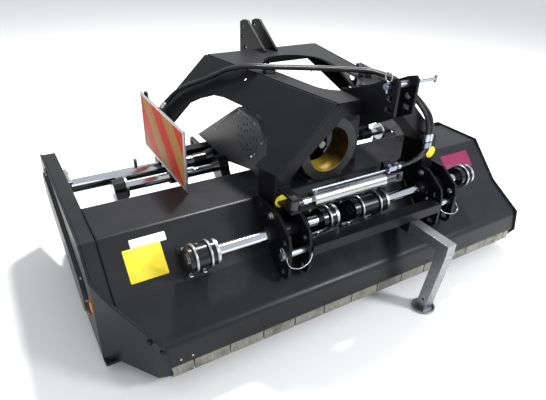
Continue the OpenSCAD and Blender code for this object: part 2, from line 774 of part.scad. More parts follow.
module rear_bracket(x0, x1, r) difference() {
    union() {
        bar_x(x0, x1, rear_bar_y, rear_bar_z, r);
        along_x(x0, x1) polygon([
            [rear_bar_y - r, rear_bar_z], [rear_bar_y - 110, rear_z(rear_bar_y - 110)],
            [rear_fold_y, rear_fold_z], [rear_bar_y + r, rear_bar_z]
        ]);
    }
    bar_x(x0 - 1, x1 + 1, rear_bar_y, rear_bar_z, bar_r + seat_fit);
}

module bar_brackets() placed() color("#15161a") {
    for (s = front_brackets) front_bracket(s[0], s[1] - collar_t);
    rear_bracket(rear_brackets[0][0], rear_brackets[0][1] - collar_t, 44);
    rear_bracket(rear_brackets[1][0], rear_brackets[1][1], 58);
    rear_bracket(rear_brackets[2][0], rear_brackets[2][1] - collar_t, 44);
    rear_bracket(rear_brackets[3][0] + collar_t, rear_brackets[3][1], 44);
}

// U-bolt over a bracket, with its legs down beside the foot and a nut on each
module u_bolt(x, leg) {
    r = bracket_r + 6;
    translate([x, 0, 0]) {
        rotate([0, -90, 0]) rotate([0, 0, -90]) rotate_extrude(angle = 180) translate([r, 0]) circle(r = 5, $fn = 24);
        for (s = [-1, 1]) translate([0, s * r, -leg]) {
            cylinder(h = leg, r = 5, $fn = 24);
            cylinder(h = 9, r = 9, $fn = 6);
        }
    }
}

module collar(x, y, z) difference() {
    bar_x(x, x + collar_t, y, z, 50);
    bar_x(x - 1, x + collar_t + 1, y, z, bar_r + seat_fit);
}

module bar_clamps() placed() color("#cfd2d6") {
    for (s = front_brackets) {
        width = s[1] - collar_t - s[0];
        collar(s[1] - collar_t, front_bar_y, front_bar_z);
        square_to_slope() for (k = width > 90 ? [0.22, 0.78] : [0.5])
            u_bolt(s[0] + k * width, bar_height - foot_t);
    }
    for (x = [rear_brackets[0][1] - collar_t, rear_brackets[2][1] - collar_t, rear_brackets[3][0]])
        collar(x, rear_bar_y, rear_bar_z);
}

module guide_sleeves() placed() color("#1b1c1f")
    both_sides() {
        difference() {
            bar_x(hitch_x - front_sleeve_l / 2, hitch_x + front_sleeve_l / 2, front_bar_y, front_bar_z, sleeve_r);
            bar_x(hitch_x - front_sleeve_l, hitch_x + front_sleeve_l, front_bar_y, front_bar_z, bar_r + run_fit);
        }
        difference() {
            bar_x(rear_sleeve_x - rear_sleeve_l / 2, rear_sleeve_x + rear_sleeve_l / 2,
                rear_bar_y, rear_bar_z, sleeve_r);
            bar_x(rear_sleeve_x - rear_sleeve_l, rear_sleeve_x + rear_sleeve_l,
                rear_bar_y, rear_bar_z, bar_r + run_fit);
        }
    }

barrel_x0 = -320;
barrel_x1 = 58;
eye_x = -405;
tail_x = 124;
barrel_bore = barrel_r - 6;

module cylinder_barrel() placed() color("#c4c7cb")
    difference() {
        union() {
            bar_x(barrel_x0, barrel_x1, cyl_y, cyl_z, barrel_r);
            bar_x(barrel_x1, tail_x - 22, cyl_y, cyl_z, barrel_r - 3);
            box(tail_x - 40, tail_x + 22, cyl_y - 17, cyl_y + 17, cyl_z - 22, cyl_z + 22);
        }
        bar_x(barrel_x0 + 24, barrel_x1 - 12, cyl_y, cyl_z, barrel_bore);
        bar_x(barrel_x0 - 1, barrel_x0 + 25, cyl_y, cyl_z, piston_rod_r + run_fit);
        bar_y(cyl_y - 18, cyl_y + 18, tail_x, cyl_z, 12 + seat_fit);
    }

module cylinder_rod() placed() color("#d9dbde") {
    bar_x(eye_x + 10, barrel_x0 + 250, cyl_y, cyl_z, piston_rod_r);
    bar_x(barrel_x0 + 250, barrel_x0 + 272, cyl_y, cyl_z, barrel_bore - run_fit);
    difference() {
        bar_z(cyl_z - 20, cyl_z + 20, eye_x, cyl_y, 20);
        bar_z(cyl_z - 21, cyl_z + 21, eye_x, cyl_y, 10 + seat_fit);
    }
    bar_z(cyl_z - 36, cyl_z + 36, eye_x, cyl_y, 10);
}

module cylinder_bracket() placed() color("#1d1e21") {
    post_y = portal_y - 15;
    difference() {
        union() {
            box(tail_x - 18, tail_x + 22, post_y, post_y + 14, hood_z(post_y + 14) + 6, cyl_z + 34);
            along_x(tail_x - 18, tail_x + 22) polygon([
                [post_y, hood_z(post_y)], [post_y + 44, hood_z(post_y + 44)],
                [post_y + 44, hood_z(post_y + 44) + 8], [post_y + 14, hood_z(post_y + 14) + 60],
                [post_y, hood_z(post_y) + 60]
            ]);
            bar_y(cyl_y + 17.5, post_y, tail_x, cyl_z, 20);
        }
        bar_y(cyl_y, post_y + 20, tail_x, cyl_z, 12 + seat_fit);
    }
    bar_y(cyl_y - 24, post_y + 20, tail_x, cyl_z, 12);
}

pipe_z = cyl_z + barrel_r + 10;
union_x = barrel_x1 + 66;

module cylinder_lines() placed() color("#dfe1e4") {
    difference() {
        union() {
            bar_x(barrel_x0 + 14, barrel_x1 + 10, cyl_y, pipe_z, 5);
            bar_z(cyl_z + barrel_r - 6, pipe_z + 6, barrel_x0 + 14, cyl_y, 7);
            bar_z(cyl_z + barrel_r - 6, pipe_z + 6, barrel_x1 + 14, cyl_y, 10);
            box(barrel_x1 + 2, barrel_x1 + 44, cyl_y - 19, cyl_y + 19, pipe_z - 4, pipe_z + 20);
            for (s = [-1, 1]) bar_x(barrel_x1 + 43, union_x, cyl_y + s * 9, pipe_z + 8, hose_r - 4);
        }
        bar_x(barrel_x0, barrel_x1, cyl_y, cyl_z, barrel_r + seat_fit);
        bar_x(barrel_x1 - 1, tail_x, cyl_y, cyl_z, barrel_r - 3 + seat_fit);
    }
    // Flexible ends of the two hoses, from the unions to the right leg
    tube_along(tail_route, hose_r - 1.5);
    tube_along(tail_route + tail_steps, hose_r - 1.5);
}

// Headstock

// A slanted panel's thickness, measured straight down and straight across
panel_drop = head_t / panel_n[2];
panel_step = head_t / panel_n[0];
under_top = head_z - head_t;
// Half width under the top plate that stays inside a panel
function inside_top(x) = x - panel_step + head_t * panel_n[2] / panel_n[0];

// Outside of the front frame, from the left foot over the top to the right foot
portal_out = [
    [-leg_x, 500], [-leg_x, crease_z - panel_drop], [-inside_top(head_front_x), under_top],
    [inside_top(head_front_x), under_top], [leg_x, crease_z - panel_drop], [leg_x, 500]
];
portal_in = [
    [-hitch_in, 500], [-hitch_in, crease_z - 33], [-330, crease_z + 16], [-140, head_z - 63],
    [140, head_z - 63], [330, crease_z + 16], [hitch_in, crease_z - 33], [hitch_in, 500]
];

module front_frame() placed() color("#202225") {
    foot = [[portal_y - 1, hood_z(portal_y) + 60], [portal_y - 1, head_z], [portal_y + portal_d + 1, head_z],
        [portal_y + portal_d + 1, hood_z(portal_y + portal_d) + 24]];
    intersection() {
        union() {
            along_y(portal_y, portal_y + head_t) polygon(concat(portal_out, reversed(portal_in)));
            along_y(portal_y, portal_y + portal_d) union() {
                bent_sheet(portal_out, -head_t);
                bent_sheet(portal_in, head_t);
            }
        }
        along_x(-leg_x - 1, leg_x + 1) polygon(foot);
    }
    // Lug that holds the eye of the cylinder's rod
    for (z = [cyl_z - 34, cyl_z + 24])
        difference() {
            box(eye_x - 22, eye_x + 21, cyl_y - 20, portal_y, z, z + 10);
            bar_z(z - 1, z + 11, eye_x, cyl_y, 10 + seat_fit);
        }
}

arch = [[857, 700], [857, 766], [818, 795], [756, 823], [692, 830], [437, 830], [361, 808], [306, 783],
    [243, 729], [255, 702]];

// Turns the ground plane onto the outside of the right panel
module on_panel_face() translate(panel_b)
    rotate([atan2(panel_v[2], panel_n[2]), -asin(panel_u[2]), atan2(panel_u[1], panel_u[0])]) children();

module side_panel() {
    on_panel_face() translate([0, 0, -head_t]) linear_extrude(head_t) difference() {
        polygon([[0, 0], on_panel(head_rear_y, head_z), on_panel(head_rear_y, rear_crease_z),
            on_panel(portal_y, crease_z)]);
        polygon(concat([on_panel(255, 600)], [for (p = reversed(arch)) on_panel(p[0], p[1])], [on_panel(857, 600)]));
        translate(on_panel(648, 912)) circle(r = 9);
    }
}

module side_panels() placed() color("#202225") both_sides() side_panel();

module top_plate() placed() color("#202225")
    along_z(under_top, head_z) difference() {
        front_x = head_front_x - panel_step;
        rear_x = head_rear_x - panel_step;
        polygon([[-front_x, portal_y], [front_x, portal_y], [rear_x, head_rear_y], [-rear_x, head_rear_y]]);
        // Round ended opening above the gearbox
        polygon(strap([0, 375], 130, [0, 685], 170, 24));
    }

// The panels spread to the rear, so the rear plate is shaped at its front face
rear_top_x = inside_top(panel_x(head_rear_y - head_t, head_z));
rear_side_z = panel_z(rear_leg_x, head_rear_y - head_t) - panel_drop;
rear_out = [
    [-rear_leg_x, 375], [-rear_leg_x, rear_side_z], [-rear_top_x, under_top],
    [rear_top_x, under_top], [rear_leg_x, rear_side_z], [rear_leg_x, 375]
];
rear_in_x = rear_leg_x - rear_leg_w;
rear_in = [
    [-rear_in_x, 375], [-rear_in_x, rear_crease_z - 30], [-290, head_z - 80], [290, head_z - 80],
    [rear_in_x, rear_crease_z - 30], [rear_in_x, 375]
];

module rear_frame() placed() color("#1d1f22") {
    along_y(head_rear_y - head_t, head_rear_y) polygon(concat(rear_out, reversed(rear_in)));
    // Cheeks of each rear leg, which reach forward and down to the sleeve
    both_sides() for (x = [rear_in_x, rear_leg_x - head_t])
        difference() {
            along_x(x, x + head_t) polygon([
                [head_rear_y - head_t, 500], [head_rear_y - head_t, rear_crease_z - 24], [852, rear_crease_z - 24],
                [820, 560], [rear_bar_y - 30, rear_bar_z + 16], [rear_bar_y - 26, rear_bar_z - 6],
                [rear_bar_y + 44, rear_bar_z - 6], [895, 500]
            ]);
            bar_x(x - 1, x + head_t + 1, rear_bar_y, rear_bar_z, sleeve_r + seat_fit);
        }
    box(-rear_leg_x, rear_leg_x, head_rear_y, head_rear_y + 60, 375, 440);
}

// Plate of a lower hitch point, seen from the side
module hitch_outline() rounded_plate([
    [270, 528], [240, 562], [70, 560], [-20, 502], [-36, 450], [-36, 326], [-18, 296], [14, 292],
    [60, 312], [120, hood_z(120) + 22], [270, hood_z(270) + 22]], 6);

module front_hitch_brackets() placed() color("#1b1d20")
    both_sides() {
        difference() {
            union() {
                along_x(hitch_in - hitch_t, hitch_in) hitch_outline();
                along_x(hitch_out, hitch_out + hitch_t) hitch_outline();
            }
            for (z = [upper_hole_z, mid_hole_z, low_hole_z])
                bar_x(hitch_in - 20, hitch_out + 20, 0, z, hitch_hole_r);
            bar_x(hitch_in - 20, hitch_out + 20, 108, 530, 9);
            bar_x(hitch_in - 20, hitch_out + 20, front_bar_y, front_bar_z, sleeve_r + seat_fit);
        }
        box(leg_x, hitch_out, portal_y, 250, 505, 545);
    }

module cross_beam() placed() color("#1b1c1f") {
    beam_z = 396;
    x0 = stand_x - stand_w / 2;
    x1 = stand_x + stand_w / 2;
    difference() {
        box(-hitch_in + hitch_t, hitch_in - hitch_t, -45, 15, beam_z, 440);
        box(-hitch_in, hitch_in, -40, 10, beam_z + 5, 435);
    }
    // Open socket under the beam for the stand's arm
    difference() {
        box(x0 - 6, x1 + 6, -45, 15, beam_z - stand_w - 7, beam_z);
        box(x0 - free_gap, x1 + free_gap, -46, 16, beam_z - stand_w - 2 * free_gap, beam_z + 1);
    }
}

arm_top = 396 - free_gap;

// Side view of the leaning leg, less a wall on each side, between two heights
function leg_line(wall, z0, z1) = [
    for (p = [[z0, wall - stand_w / 2], [z1, wall - stand_w / 2], [z1, stand_w / 2 - wall], [z0, stand_w / 2 - wall]])
        [foot_y + (stand_front_y + stand_w / 2 - foot_y) * (p[0] - 8) / (arm_top - stand_w - 8) + p[1], p[0]]
];

module support_stand() placed() color("#b9bcc0") {
    x0 = stand_x - stand_w / 2;
    x1 = stand_x + stand_w / 2;
    wall = 4;
    difference() {
        box(x0, x1, stand_front_y, 60, arm_top - stand_w, arm_top);
        box(x0 + wall, x1 - wall, stand_front_y + wall, 61, arm_top - stand_w + wall, arm_top - wall);
    }
    difference() {
        along_x(x0, x1) polygon(leg_line(0, 8, arm_top - stand_w));
        along_x(x0 + wall, x1 - wall) polygon(leg_line(wall, 7, arm_top - stand_w + 1));
        bar_x(x0 - 1, x1 + 1, foot_y - 8, 66, 6);
    }
    translate([stand_x, foot_y, 0]) rotate_extrude()
        polygon([[0, 0], [foot_r - 8, 0], [foot_r, 8], [foot_r, 14], [foot_r - 6, 14], [foot_r - 12, 8], [0, 8]]);
}

// Masts

module front_mast() placed() color("#1b1d20")
    both_sides() difference() {
        along_x(mast_gap / 2, mast_gap / 2 + mast_t) rounded_plate([
            [portal_y, head_z - 118], [portal_y, head_z], [290, head_z], [240, head_z + 14], [158, 984],
            [78, 1020], [4, 1058], [-34, 1070], [-50, 1058], [-50, 928], [-6, 904]], 3);
        bar_x(0, 80, -9, top_hole_z, top_hole_r);
        bar_x(0, 80, -15, top_hole_z - 46.5, top_hole_r);
        box(0, 80, -30, 0, 936, 954);
    }

module rear_mast() placed() color("#1b1d20")
    both_sides() difference() {
        along_x(rear_mast_gap / 2, rear_mast_gap / 2 + mast_t) rounded_plate([
            [head_rear_y, 850], [1201, 895], [1201, 1051], [1166, 1066], [1120, 1070], [932, 952],
            [932, head_z], [head_rear_y, head_z]], 3);
        bar_x(0, 80, 1178, 1032, top_hole_r);
        bar_x(0, 80, 1177, 976, top_hole_r);
        along_x(0, 80) polygon([[1125, 924], [1141, 908], [1157, 924], [1141, 940]]);
    }

module rear_hitch_brackets() placed() color("#1b1d20")
    both_sides() difference() {
        for (x = [hitch_in - hitch_t, hitch_out])
            along_x(x, x + hitch_t) rounded_plate([
                [head_rear_y + 60, 376], [1110, 330], [1160, 293], [1186, 300], [1200, 330], [1200, 420],
                [1184, 438], [head_rear_y + 60, 438]], 3);
        for (z = [mid_hole_z, low_hole_z + 5]) bar_x(hitch_in - 20, hitch_out + 20, 1165, z, hitch_hole_r);
    }

// Pins

module ring_clip(r) {
    rotate_extrude() translate([r, 0]) circle(r = 2.2, $fn = 12);
}

module hitch_pin() {
    out = hitch_out + hitch_t;
    bar_x(hitch_in - hitch_t + 1, out + 16, 0, mid_hole_z, hitch_hole_r - 0.35);
    bar_x(out + 0.4, out + 6, 0, mid_hole_z, 22);
    translate([out + 12, 0, mid_hole_z + 26]) rotate([0, 90, 0]) ring_clip(12);
    bar_z(mid_hole_z - 20, mid_hole_z + 16, out + 12, 0, 3.5);
}

module left_hitch_pin() placed() color("#b4b7bb") mirror([1, 0, 0]) hitch_pin();
module right_hitch_pin() placed() color("#b4b7bb") hitch_pin();

mast_out = mast_gap / 2 + mast_t;

module top_link_pin() placed() color("#b4b7bb") {
    difference() {
        bar_x(-mast_out - 24, mast_out + 20, -9, top_hole_z, top_hole_r - 0.35);
        bar_z(top_hole_z - 30, top_hole_z + 30, -mast_out - 13, -9, 4 + run_fit);
    }
    bar_x(mast_out + 0.4, mast_out + 8, -9, top_hole_z, 20);
    bar_x(mast_out + 20, 178, -9, top_hole_z, 6);
    bar_z(top_hole_z - 14, top_hole_z + 14, 182, -9, 6);
}

module top_link_clip() placed() color("#c9ccd0") {
    bar_z(top_hole_z - 24, top_hole_z + 20, -mast_out - 13, -9, 4);
    translate([-mast_out - 13, -9, top_hole_z + 35]) rotate([0, 90, 0]) ring_clip(17);
}

// Warning boards

post_z0 = board_z + 30;
post_z1 = board_z + board_h - 6;

module board_posts() placed() color("#24262a")
    both_sides() {
        bar_z(post_z0, post_z1, board_x, board_y, post_r);
        for (z = [post_z0 + 12, post_z0 + 128])
            box(rear_leg_x, board_x - 4, board_y - 9, board_y + 9, z, z + 18);
        for (z = [post_z0 + 56, post_z0 + 184])
            bar_z(z - 6, z - free_gap, board_x, board_y, post_r + 5);
    }

// Board on the right side, hinged about its post
module board(yaw) translate([board_x, board_y, 0]) rotate([0, 0, -yaw]) {
    face_x = 21;
    difference() {
        union() {
            box(face_x, face_x + board_t, 11 - board_l, 11, board_z, board_z + board_h);
            box(face_x - 3, face_x, 11 - board_l, 23 - board_l, board_z, board_z + board_h);
            box(face_x - 3, face_x, 3, 11, board_z, board_z + board_h);
            for (z = [post_z0 + 56, post_z0 + 184]) {
                bar_z(z, z + 36, 0, 0, post_r + 4);
                box(4, face_x, -8, 8, z, z + 36);
            }
        }
        bar_z(board_z - 1, board_z + board_h + 30, 0, 0, post_r + run_fit);
    }
}

module left_board() placed() color("#d9432f") mirror([1, 0, 0]) board(0);
module right_board() placed() color("#9a9da1") board(board_yaw);

// Hoses and their clamps

hose_r = 10;
// Route of the first hose, from the left panel over the headstock to the right leg
hose_route = [
    [-597, 968, 706], [-576, 972, 727], [-548, 972, 758], [-508, 958, 797], [-462, 919, 833], [-428, 872, 859],
    [-374, 815, 897], [-338, 762, 932], [-300, 706, 956], [-250, 655, 966], [-190, 618, 966], [-110, 575, 966],
    [-20, 526, 966], [80, 465, 966], [184, 392, 966], [212, 340, 966], [246, 265, 952], [276, 195, 916],
    [306, 142, 872], [332, 110, 826], [348, 98, 776], [352, 96, 735], [352, 96, 700]
];
// Steps from the first hose to the second beside it: where they start, over the top, and down the leg
start_step = [-9.5, -15.5, 12.4];
top_step = [-18, -17, 0];
leg_step = [-22, 0, 0];
function hose_step(i) = let (k = min(max((i - 15) / 4, 0), 1))
    i < 2 ? start_step : (1 - k) * top_step + k * leg_step;
// Route of the first free end between the right leg and the cylinder, and the steps to the second
tail_route = [
    [352, 96, 697], [352, 96, 668], [334, 95, 640], [292, 92, 622], [240, 84, 620], [194, 70, 632],
    [160, 59, 646], [136, 56, 649], [118, 56, 649]
];
tail_steps = [
    [-20, 0, 0], [-20, 0, 0], [-15, -2, 14], [-4, -6, 18], [0, -12, 15], [0, -17, 8], [0, -18, 2], [0, -18, 0],
    [0, -18, 0]
];
// A direction that none of the hoses runs along
hose_side = [1, 1, 0];

// Sweeps a round tube along points
module tube_along(points, r, sides = 8) {
    n = len(points);
    rings = [for (i = [0:n - 1]) let (
        t = unit(points[min(i + 1, n - 1)] - points[max(i - 1, 0)]),
        s = unit(cross(t, hose_side)),
        w = cross(t, s))
        each [for (k = [0:sides - 1]) points[i] + r * (cos(k * 360 / sides) * s + sin(k * 360 / sides) * w)]];
    faces = concat(
        [[for (k = [0:sides - 1]) k]],
        [[for (k = [sides - 1:-1:0]) (n - 1) * sides + k]],
        [for (i = [0:n - 2], k = [0:sides - 1]) each [
            [i * sides + k, (i + 1) * sides + k, i * sides + (k + 1) % sides],
            [i * sides + (k + 1) % sides, (i + 1) * sides + k, (i + 1) * sides + (k + 1) % sides]]]);
    polyhedron(rings, faces);
}

module hydraulic_hoses() placed() color("#101113") {
    last = len(hose_route) - 1;
    tube_along(hose_route, hose_r);
    tube_along([for (i = [0:last]) hose_route[i] + hose_step(i)], hose_r);
}

// Blocks that carry the hoses: one on the left panel, two on the top plate, one on the right leg
module hose_clamps() placed() color("#2a2c2f") {
    mirror([1, 0, 0]) on_panel_face() translate([on_panel(965, 682)[0] - 34, on_panel(965, 682)[1] - 22, 0])
        cube([52, 39, 46]);
    for (i = [10, 14]) let (p = hose_route[i])
        box(p[0] - 34, p[0] + 14, p[1] - 26, p[1] + 10, head_z, p[2] - hose_r - free_gap);
    let (p = hose_route[22])
        box(p[0] - 32, p[0] + 14, p[1] + hose_r + free_gap, portal_y, p[2] + 4, p[2] + 24);
}

module deck_screws() placed() color("#85888c") {
    ring = offset_ring(belt_ring, -7);
    for (i = [1:4:len(ring) - 1])
        bar_x(case_out - 9, case_out - 4, ring[i][0], ring[i][1], 5);
    for (s = [-1, 1], z = [-44, 48]) bar_x(hood_left + flange_t, hood_left + flange_t + 8,
        tube_y + s * 54, tube_z + z, 9);
}

module side_reflector() placed() color("#e08a1e")
    box(case_out - 6, case_out, 190, 212, 270, 317);

hood_shell();
left_end_plate();
right_end_plate();
belt_case();
belt_cover();
drive_belts();
skids();
counter_blade();
flap_hinge_rod();
rear_rubber_flap();
roller_brackets();
guide_bars();
bar_brackets();
bar_clamps();
deck_screws();
cylinder_barrel();
cylinder_bracket();
cylinder_lines();
drive_tube();
gearbox_housing();
gearbox_guard();
driveline_guard();
rotor_bearings();
side_reflector();
rotor_tube();
hammers();
hammer_bolts();
rotor_pulley();
rear_roller();
drive_shaft();
drive_pulley();
input_shaft();
front_frame();
rear_frame();
side_panels();
top_plate();
front_mast();
rear_mast();
front_hitch_brackets();
rear_hitch_brackets();
guide_sleeves();
cross_beam();
cylinder_rod();
hydraulic_hoses();
hose_clamps();
board_posts();
left_board();
right_board();
support_stand();
top_link_pin();
top_link_clip();
left_hitch_pin();
right_hitch_pin();
front_flaps_1();
front_flaps_2();
front_flaps_3();
front_flaps_4();
front_flaps_5();
front_flaps_6();
front_flaps_7();
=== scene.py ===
"""Looks of a side-shift flail mower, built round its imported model."""

import math

import bmesh
import bpy
from bpy.props import FloatProperty, FloatVectorProperty, IntProperty, PointerProperty
from mathutils import Matrix, Vector, noise


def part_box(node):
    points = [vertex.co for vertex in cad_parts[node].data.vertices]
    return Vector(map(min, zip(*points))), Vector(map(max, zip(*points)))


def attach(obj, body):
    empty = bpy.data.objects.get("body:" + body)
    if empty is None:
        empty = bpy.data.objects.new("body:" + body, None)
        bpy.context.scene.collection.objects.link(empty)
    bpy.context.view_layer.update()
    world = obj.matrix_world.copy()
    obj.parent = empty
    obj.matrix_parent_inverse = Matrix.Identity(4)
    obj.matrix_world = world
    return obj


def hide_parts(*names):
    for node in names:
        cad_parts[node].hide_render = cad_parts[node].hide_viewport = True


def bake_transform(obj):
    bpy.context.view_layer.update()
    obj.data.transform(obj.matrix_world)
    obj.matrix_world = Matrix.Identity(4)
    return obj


bl_info = {
    "name": "Flail Mower",
    "version": (1, 0, 0),
    "blender": (4, 5, 0),
    "location": "View3D > Sidebar > Mower",
    "description": "Finishes, hoses and small hardware of a side-shift flail mower",
    "category": "Add Mesh",
}

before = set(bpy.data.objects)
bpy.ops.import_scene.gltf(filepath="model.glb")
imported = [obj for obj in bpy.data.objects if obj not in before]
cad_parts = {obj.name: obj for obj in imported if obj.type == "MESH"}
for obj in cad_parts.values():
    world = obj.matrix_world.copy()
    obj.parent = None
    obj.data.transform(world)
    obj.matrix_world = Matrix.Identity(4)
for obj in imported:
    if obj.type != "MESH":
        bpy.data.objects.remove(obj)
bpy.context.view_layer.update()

# The front hitch brackets give the headstock's middle and, behind their front edge, the hitch holes
HOLE_BEHIND_EDGE = 0.036
bracket_low, bracket_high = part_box("front_hitch_brackets")
HEAD_X = (bracket_low.x + bracket_high.x) / 2
HITCH_Y = bracket_low.y + HOLE_BEHIND_EDGE


def at(x, y, z):
    """A place given in millimetres from the headstock's middle, the lower hitch holes and the ground."""
    return Vector((HEAD_X + x / 1000, HITCH_Y + y / 1000, z / 1000))


# Settings


def colour(name, text, value):
    return FloatVectorProperty(
        name=name, description=text, default=value, size=3, subtype="COLOR", min=0, max=1
    )


def length(name, text, value, top):
    return FloatProperty(
        name=name, description=text, default=value, unit="LENGTH", subtype="DISTANCE", min=0, max=top
    )


class CoatSettings(bpy.types.PropertyGroup):
    coat: colour("Coat", "Colour of the black powder coat", (0.0095, 0.0097, 0.0115))
    bare_edge: colour("Worn edge", "Colour where the coat is rubbed on its edges", (0.09, 0.09, 0.1))
    dust: colour("Dust", "Colour of dust that settles on top", (0.13, 0.125, 0.12))
    flap: colour("Flap", "Colour of the front flaps", (0.2, 0.195, 0.16))
    guard: colour("Guard", "Colour of the plastic gearbox guard", (0.055, 0.056, 0.06))
    tunnel: colour("Tunnel", "Colour inside the round driveline guard", (0.62, 0.42, 0.05))
    hood_fold: length("Hood fold", "Radius that the hood's folds seem to have", 0.01, 0.03)
    plate_edge: length("Plate edge", "Radius that cut plate edges seem to have", 0.0022, 0.01)


class HoseSettings(bpy.types.PropertyGroup):
    radius: length("Hose radius", "Outside radius of a hydraulic hose", 0.0098, 0.02)
    sleeve: length("Sleeve radius", "Radius of the crimped sleeve at a hose's end", 0.0125, 0.03)
    sides: IntProperty(name="Hose sides", description="Faces round a hose", default=16, min=8, max=48)


class BoardSettings(bpy.types.PropertyGroup):
    stripe: length("Stripe width", "Width of a stripe across the board", 0.1, 0.3)
    red: colour("Red stripe", "Colour of the red stripes", (0.72, 0.035, 0.02))
    pale: colour("Pale stripe", "Colour of the pale stripes", (0.55, 0.27, 0.075))
    rim: length("Rim width", "Width of the board's aluminium rim", 0.012, 0.03)


class SheetSettings(bpy.types.PropertyGroup):
    yellow: colour("Yellow", "Colour of the bare yellow sheet and discs", (0.72, 0.58, 0.03))
    white: colour("White", "Colour of the bare white strip", (0.75, 0.77, 0.75))
    crimson: colour("Crimson", "Colour of the bare crimson patch", (0.17, 0.009, 0.05))
    thickness: length("Thickness", "Thickness of a stuck-on sheet", 0.0006, 0.002)


class StageSettings(bpy.types.PropertyGroup):
    floor: colour("Floor", "Colour of the pale floor", (0.86, 0.86, 0.85))
    light: FloatProperty(name="Light", description="Strength of all lights", default=1.0, min=0, max=5)


def settings(name):
    return getattr(bpy.context.scene, "mower_" + name)


# Shader groups and materials


def new_group(name, inputs, outputs):
    """An empty shader group with sockets given as (name, kind, default)."""
    tree = bpy.data.node_groups.new(name, "ShaderNodeTree")
    for label, kind, value in inputs:
        socket = tree.interface.new_socket(name=label, in_out="INPUT", socket_type="NodeSocket" + kind)
        socket.default_value = value
    for label, kind in outputs:
        tree.interface.new_socket(name=label, in_out="OUTPUT", socket_type="NodeSocket" + kind)
    return tree, Wires(tree), tree.nodes.new("NodeGroupInput"), tree.nodes.new("NodeGroupOutput")


class Wires:
    """Short names for adding and joining shader nodes in one tree."""

    def __init__(self, tree):
        self.tree = tree
        self.shader = None

    def node(self, kind, **values):
        made = self.tree.nodes.new("ShaderNode" + kind)
        for key, value in values.items():
            setattr(made, key, value)
        return made

    def put(self, value, socket):
        """Joins one socket to another, or sets a constant. A colour is given without its alpha."""
        if isinstance(value, bpy.types.NodeSocket):
            self.tree.links.new(value, socket)
        elif socket.type == "RGBA":
            socket.default_value = (*value, 1)
        else:
            socket.default_value = value

    def math(self, operation, a, b=0.0, clamp=False):
        made = self.node("Math", operation=operation, use_clamp=clamp)
        self.put(a, made.inputs[0])
        self.put(b, made.inputs[1])
        return made.outputs[0]

    def mix(self, factor, a, b):
        made = self.node("Mix", data_type="RGBA")
        self.put(factor, made.inputs[0])
        self.put(a, made.inputs[6])
        self.put(b, made.inputs[7])
        return made.outputs[2]

    def ramp(self, value, low, high, out_low=0.0, out_high=1.0):
        made = self.node("MapRange", clamp=True)
        for socket, number in zip(made.inputs, (value, low, high, out_low, out_high)):
            self.put(number, socket)
        return made.outputs[0]

    def place(self, stretch=(1, 1, 1)):
        """The surface's own place, stretched, so that a pattern moves with its piece."""
        source = self.node("TexCoord").outputs["Object"]
        if stretch == (1, 1, 1):
            return source
        made = self.node("Mapping")
        self.put(source, made.inputs["Vector"])
        made.inputs["Scale"].default_value = stretch
        return made.outputs["Vector"]

    def axes(self, vector):
        made = self.node("SeparateXYZ")
        self.put(vector, made.inputs[0])
        return made.outputs

    def noise(self, scale, detail, place=None, rough=0.5):
        made = self.node("TexNoise")
        self.put(place or self.place(), made.inputs["Vector"])
        self.put(scale, made.inputs["Scale"])
        made.inputs["Detail"].default_value = detail
        made.inputs["Roughness"].default_value = rough
        return made.outputs["Fac"]

    def effect(self, name, **values):
        """One of the shared effects, placed with its own values."""
        made = self.node("Group", node_tree=shared(name))
        for key, value in values.items():
            self.put(value, made.inputs[key.capitalize()])
        return made.outputs


def edge_group():
    """Round edge normals, and a mask of the rubbed edges."""
    tree, w, source, sink = new_group(
        "Rubbed edges",
        [("Radius", "Float", 0.002), ("Amount", "Float", 0.5)],
        [("Mask", "Float"), ("Normal", "Vector")],
    )
    bevel = w.node("Bevel", samples=6)
    w.put(source.outputs["Radius"], bevel.inputs["Radius"])
    facing = w.node("VectorMath", operation="DOT_PRODUCT")
    w.put(bevel.outputs["Normal"], facing.inputs[0])
    w.put(w.node("NewGeometry").outputs["Normal"], facing.inputs[1])
    turned = w.math("SUBTRACT", 1.0, facing.outputs["Value"], clamp=True)
    patchy = w.ramp(w.noise(38.0, 4.0), 0.38, 0.66)
    mask = w.math("MULTIPLY", w.ramp(turned, 0.03, 0.2), patchy)
    w.put(w.math("MULTIPLY", mask, source.outputs["Amount"], clamp=True), sink.inputs["Mask"])
    w.put(bevel.outputs["Normal"], sink.inputs["Normal"])
    return tree


def grain_group():
    """Fine height and slow tone changes of a coated or cast surface."""
    tree, w, source, sink = new_group(
        "Coat grain", [("Scale", "Float", 700.0)], [("Height", "Float"), ("Tone", "Float")]
    )
    w.put(w.noise(source.outputs["Scale"], 2.0), sink.inputs["Height"])
    slow = w.math("ADD", w.noise(2.2, 5.0), w.math("MULTIPLY", w.noise(17.0, 3.0), 0.35))
    w.put(w.ramp(slow, 0.45, 0.95), sink.inputs["Tone"])
    return tree


def dust_group():
    """Mask of dust that lies on surfaces that face up."""
    tree, w, source, sink = new_group("Settled dust", [("Amount", "Float", 0.3)], [("Mask", "Float")])
    up = w.ramp(w.axes(w.node("NewGeometry").outputs["Normal"])["Z"], 0.2, 1.0)
    spots = w.math("MULTIPLY", w.ramp(w.noise(6.0, 8.0, rough=0.68), 0.42, 0.72), 0.75)
    fine = w.math("MULTIPLY", w.ramp(w.noise(260.0, 2.0), 0.5, 0.7), 0.25)
    mask = w.math("MULTIPLY", up, w.math("ADD", spots, fine))
    w.put(w.math("MULTIPLY", mask, source.outputs["Amount"], clamp=True), sink.inputs["Mask"])
    return tree


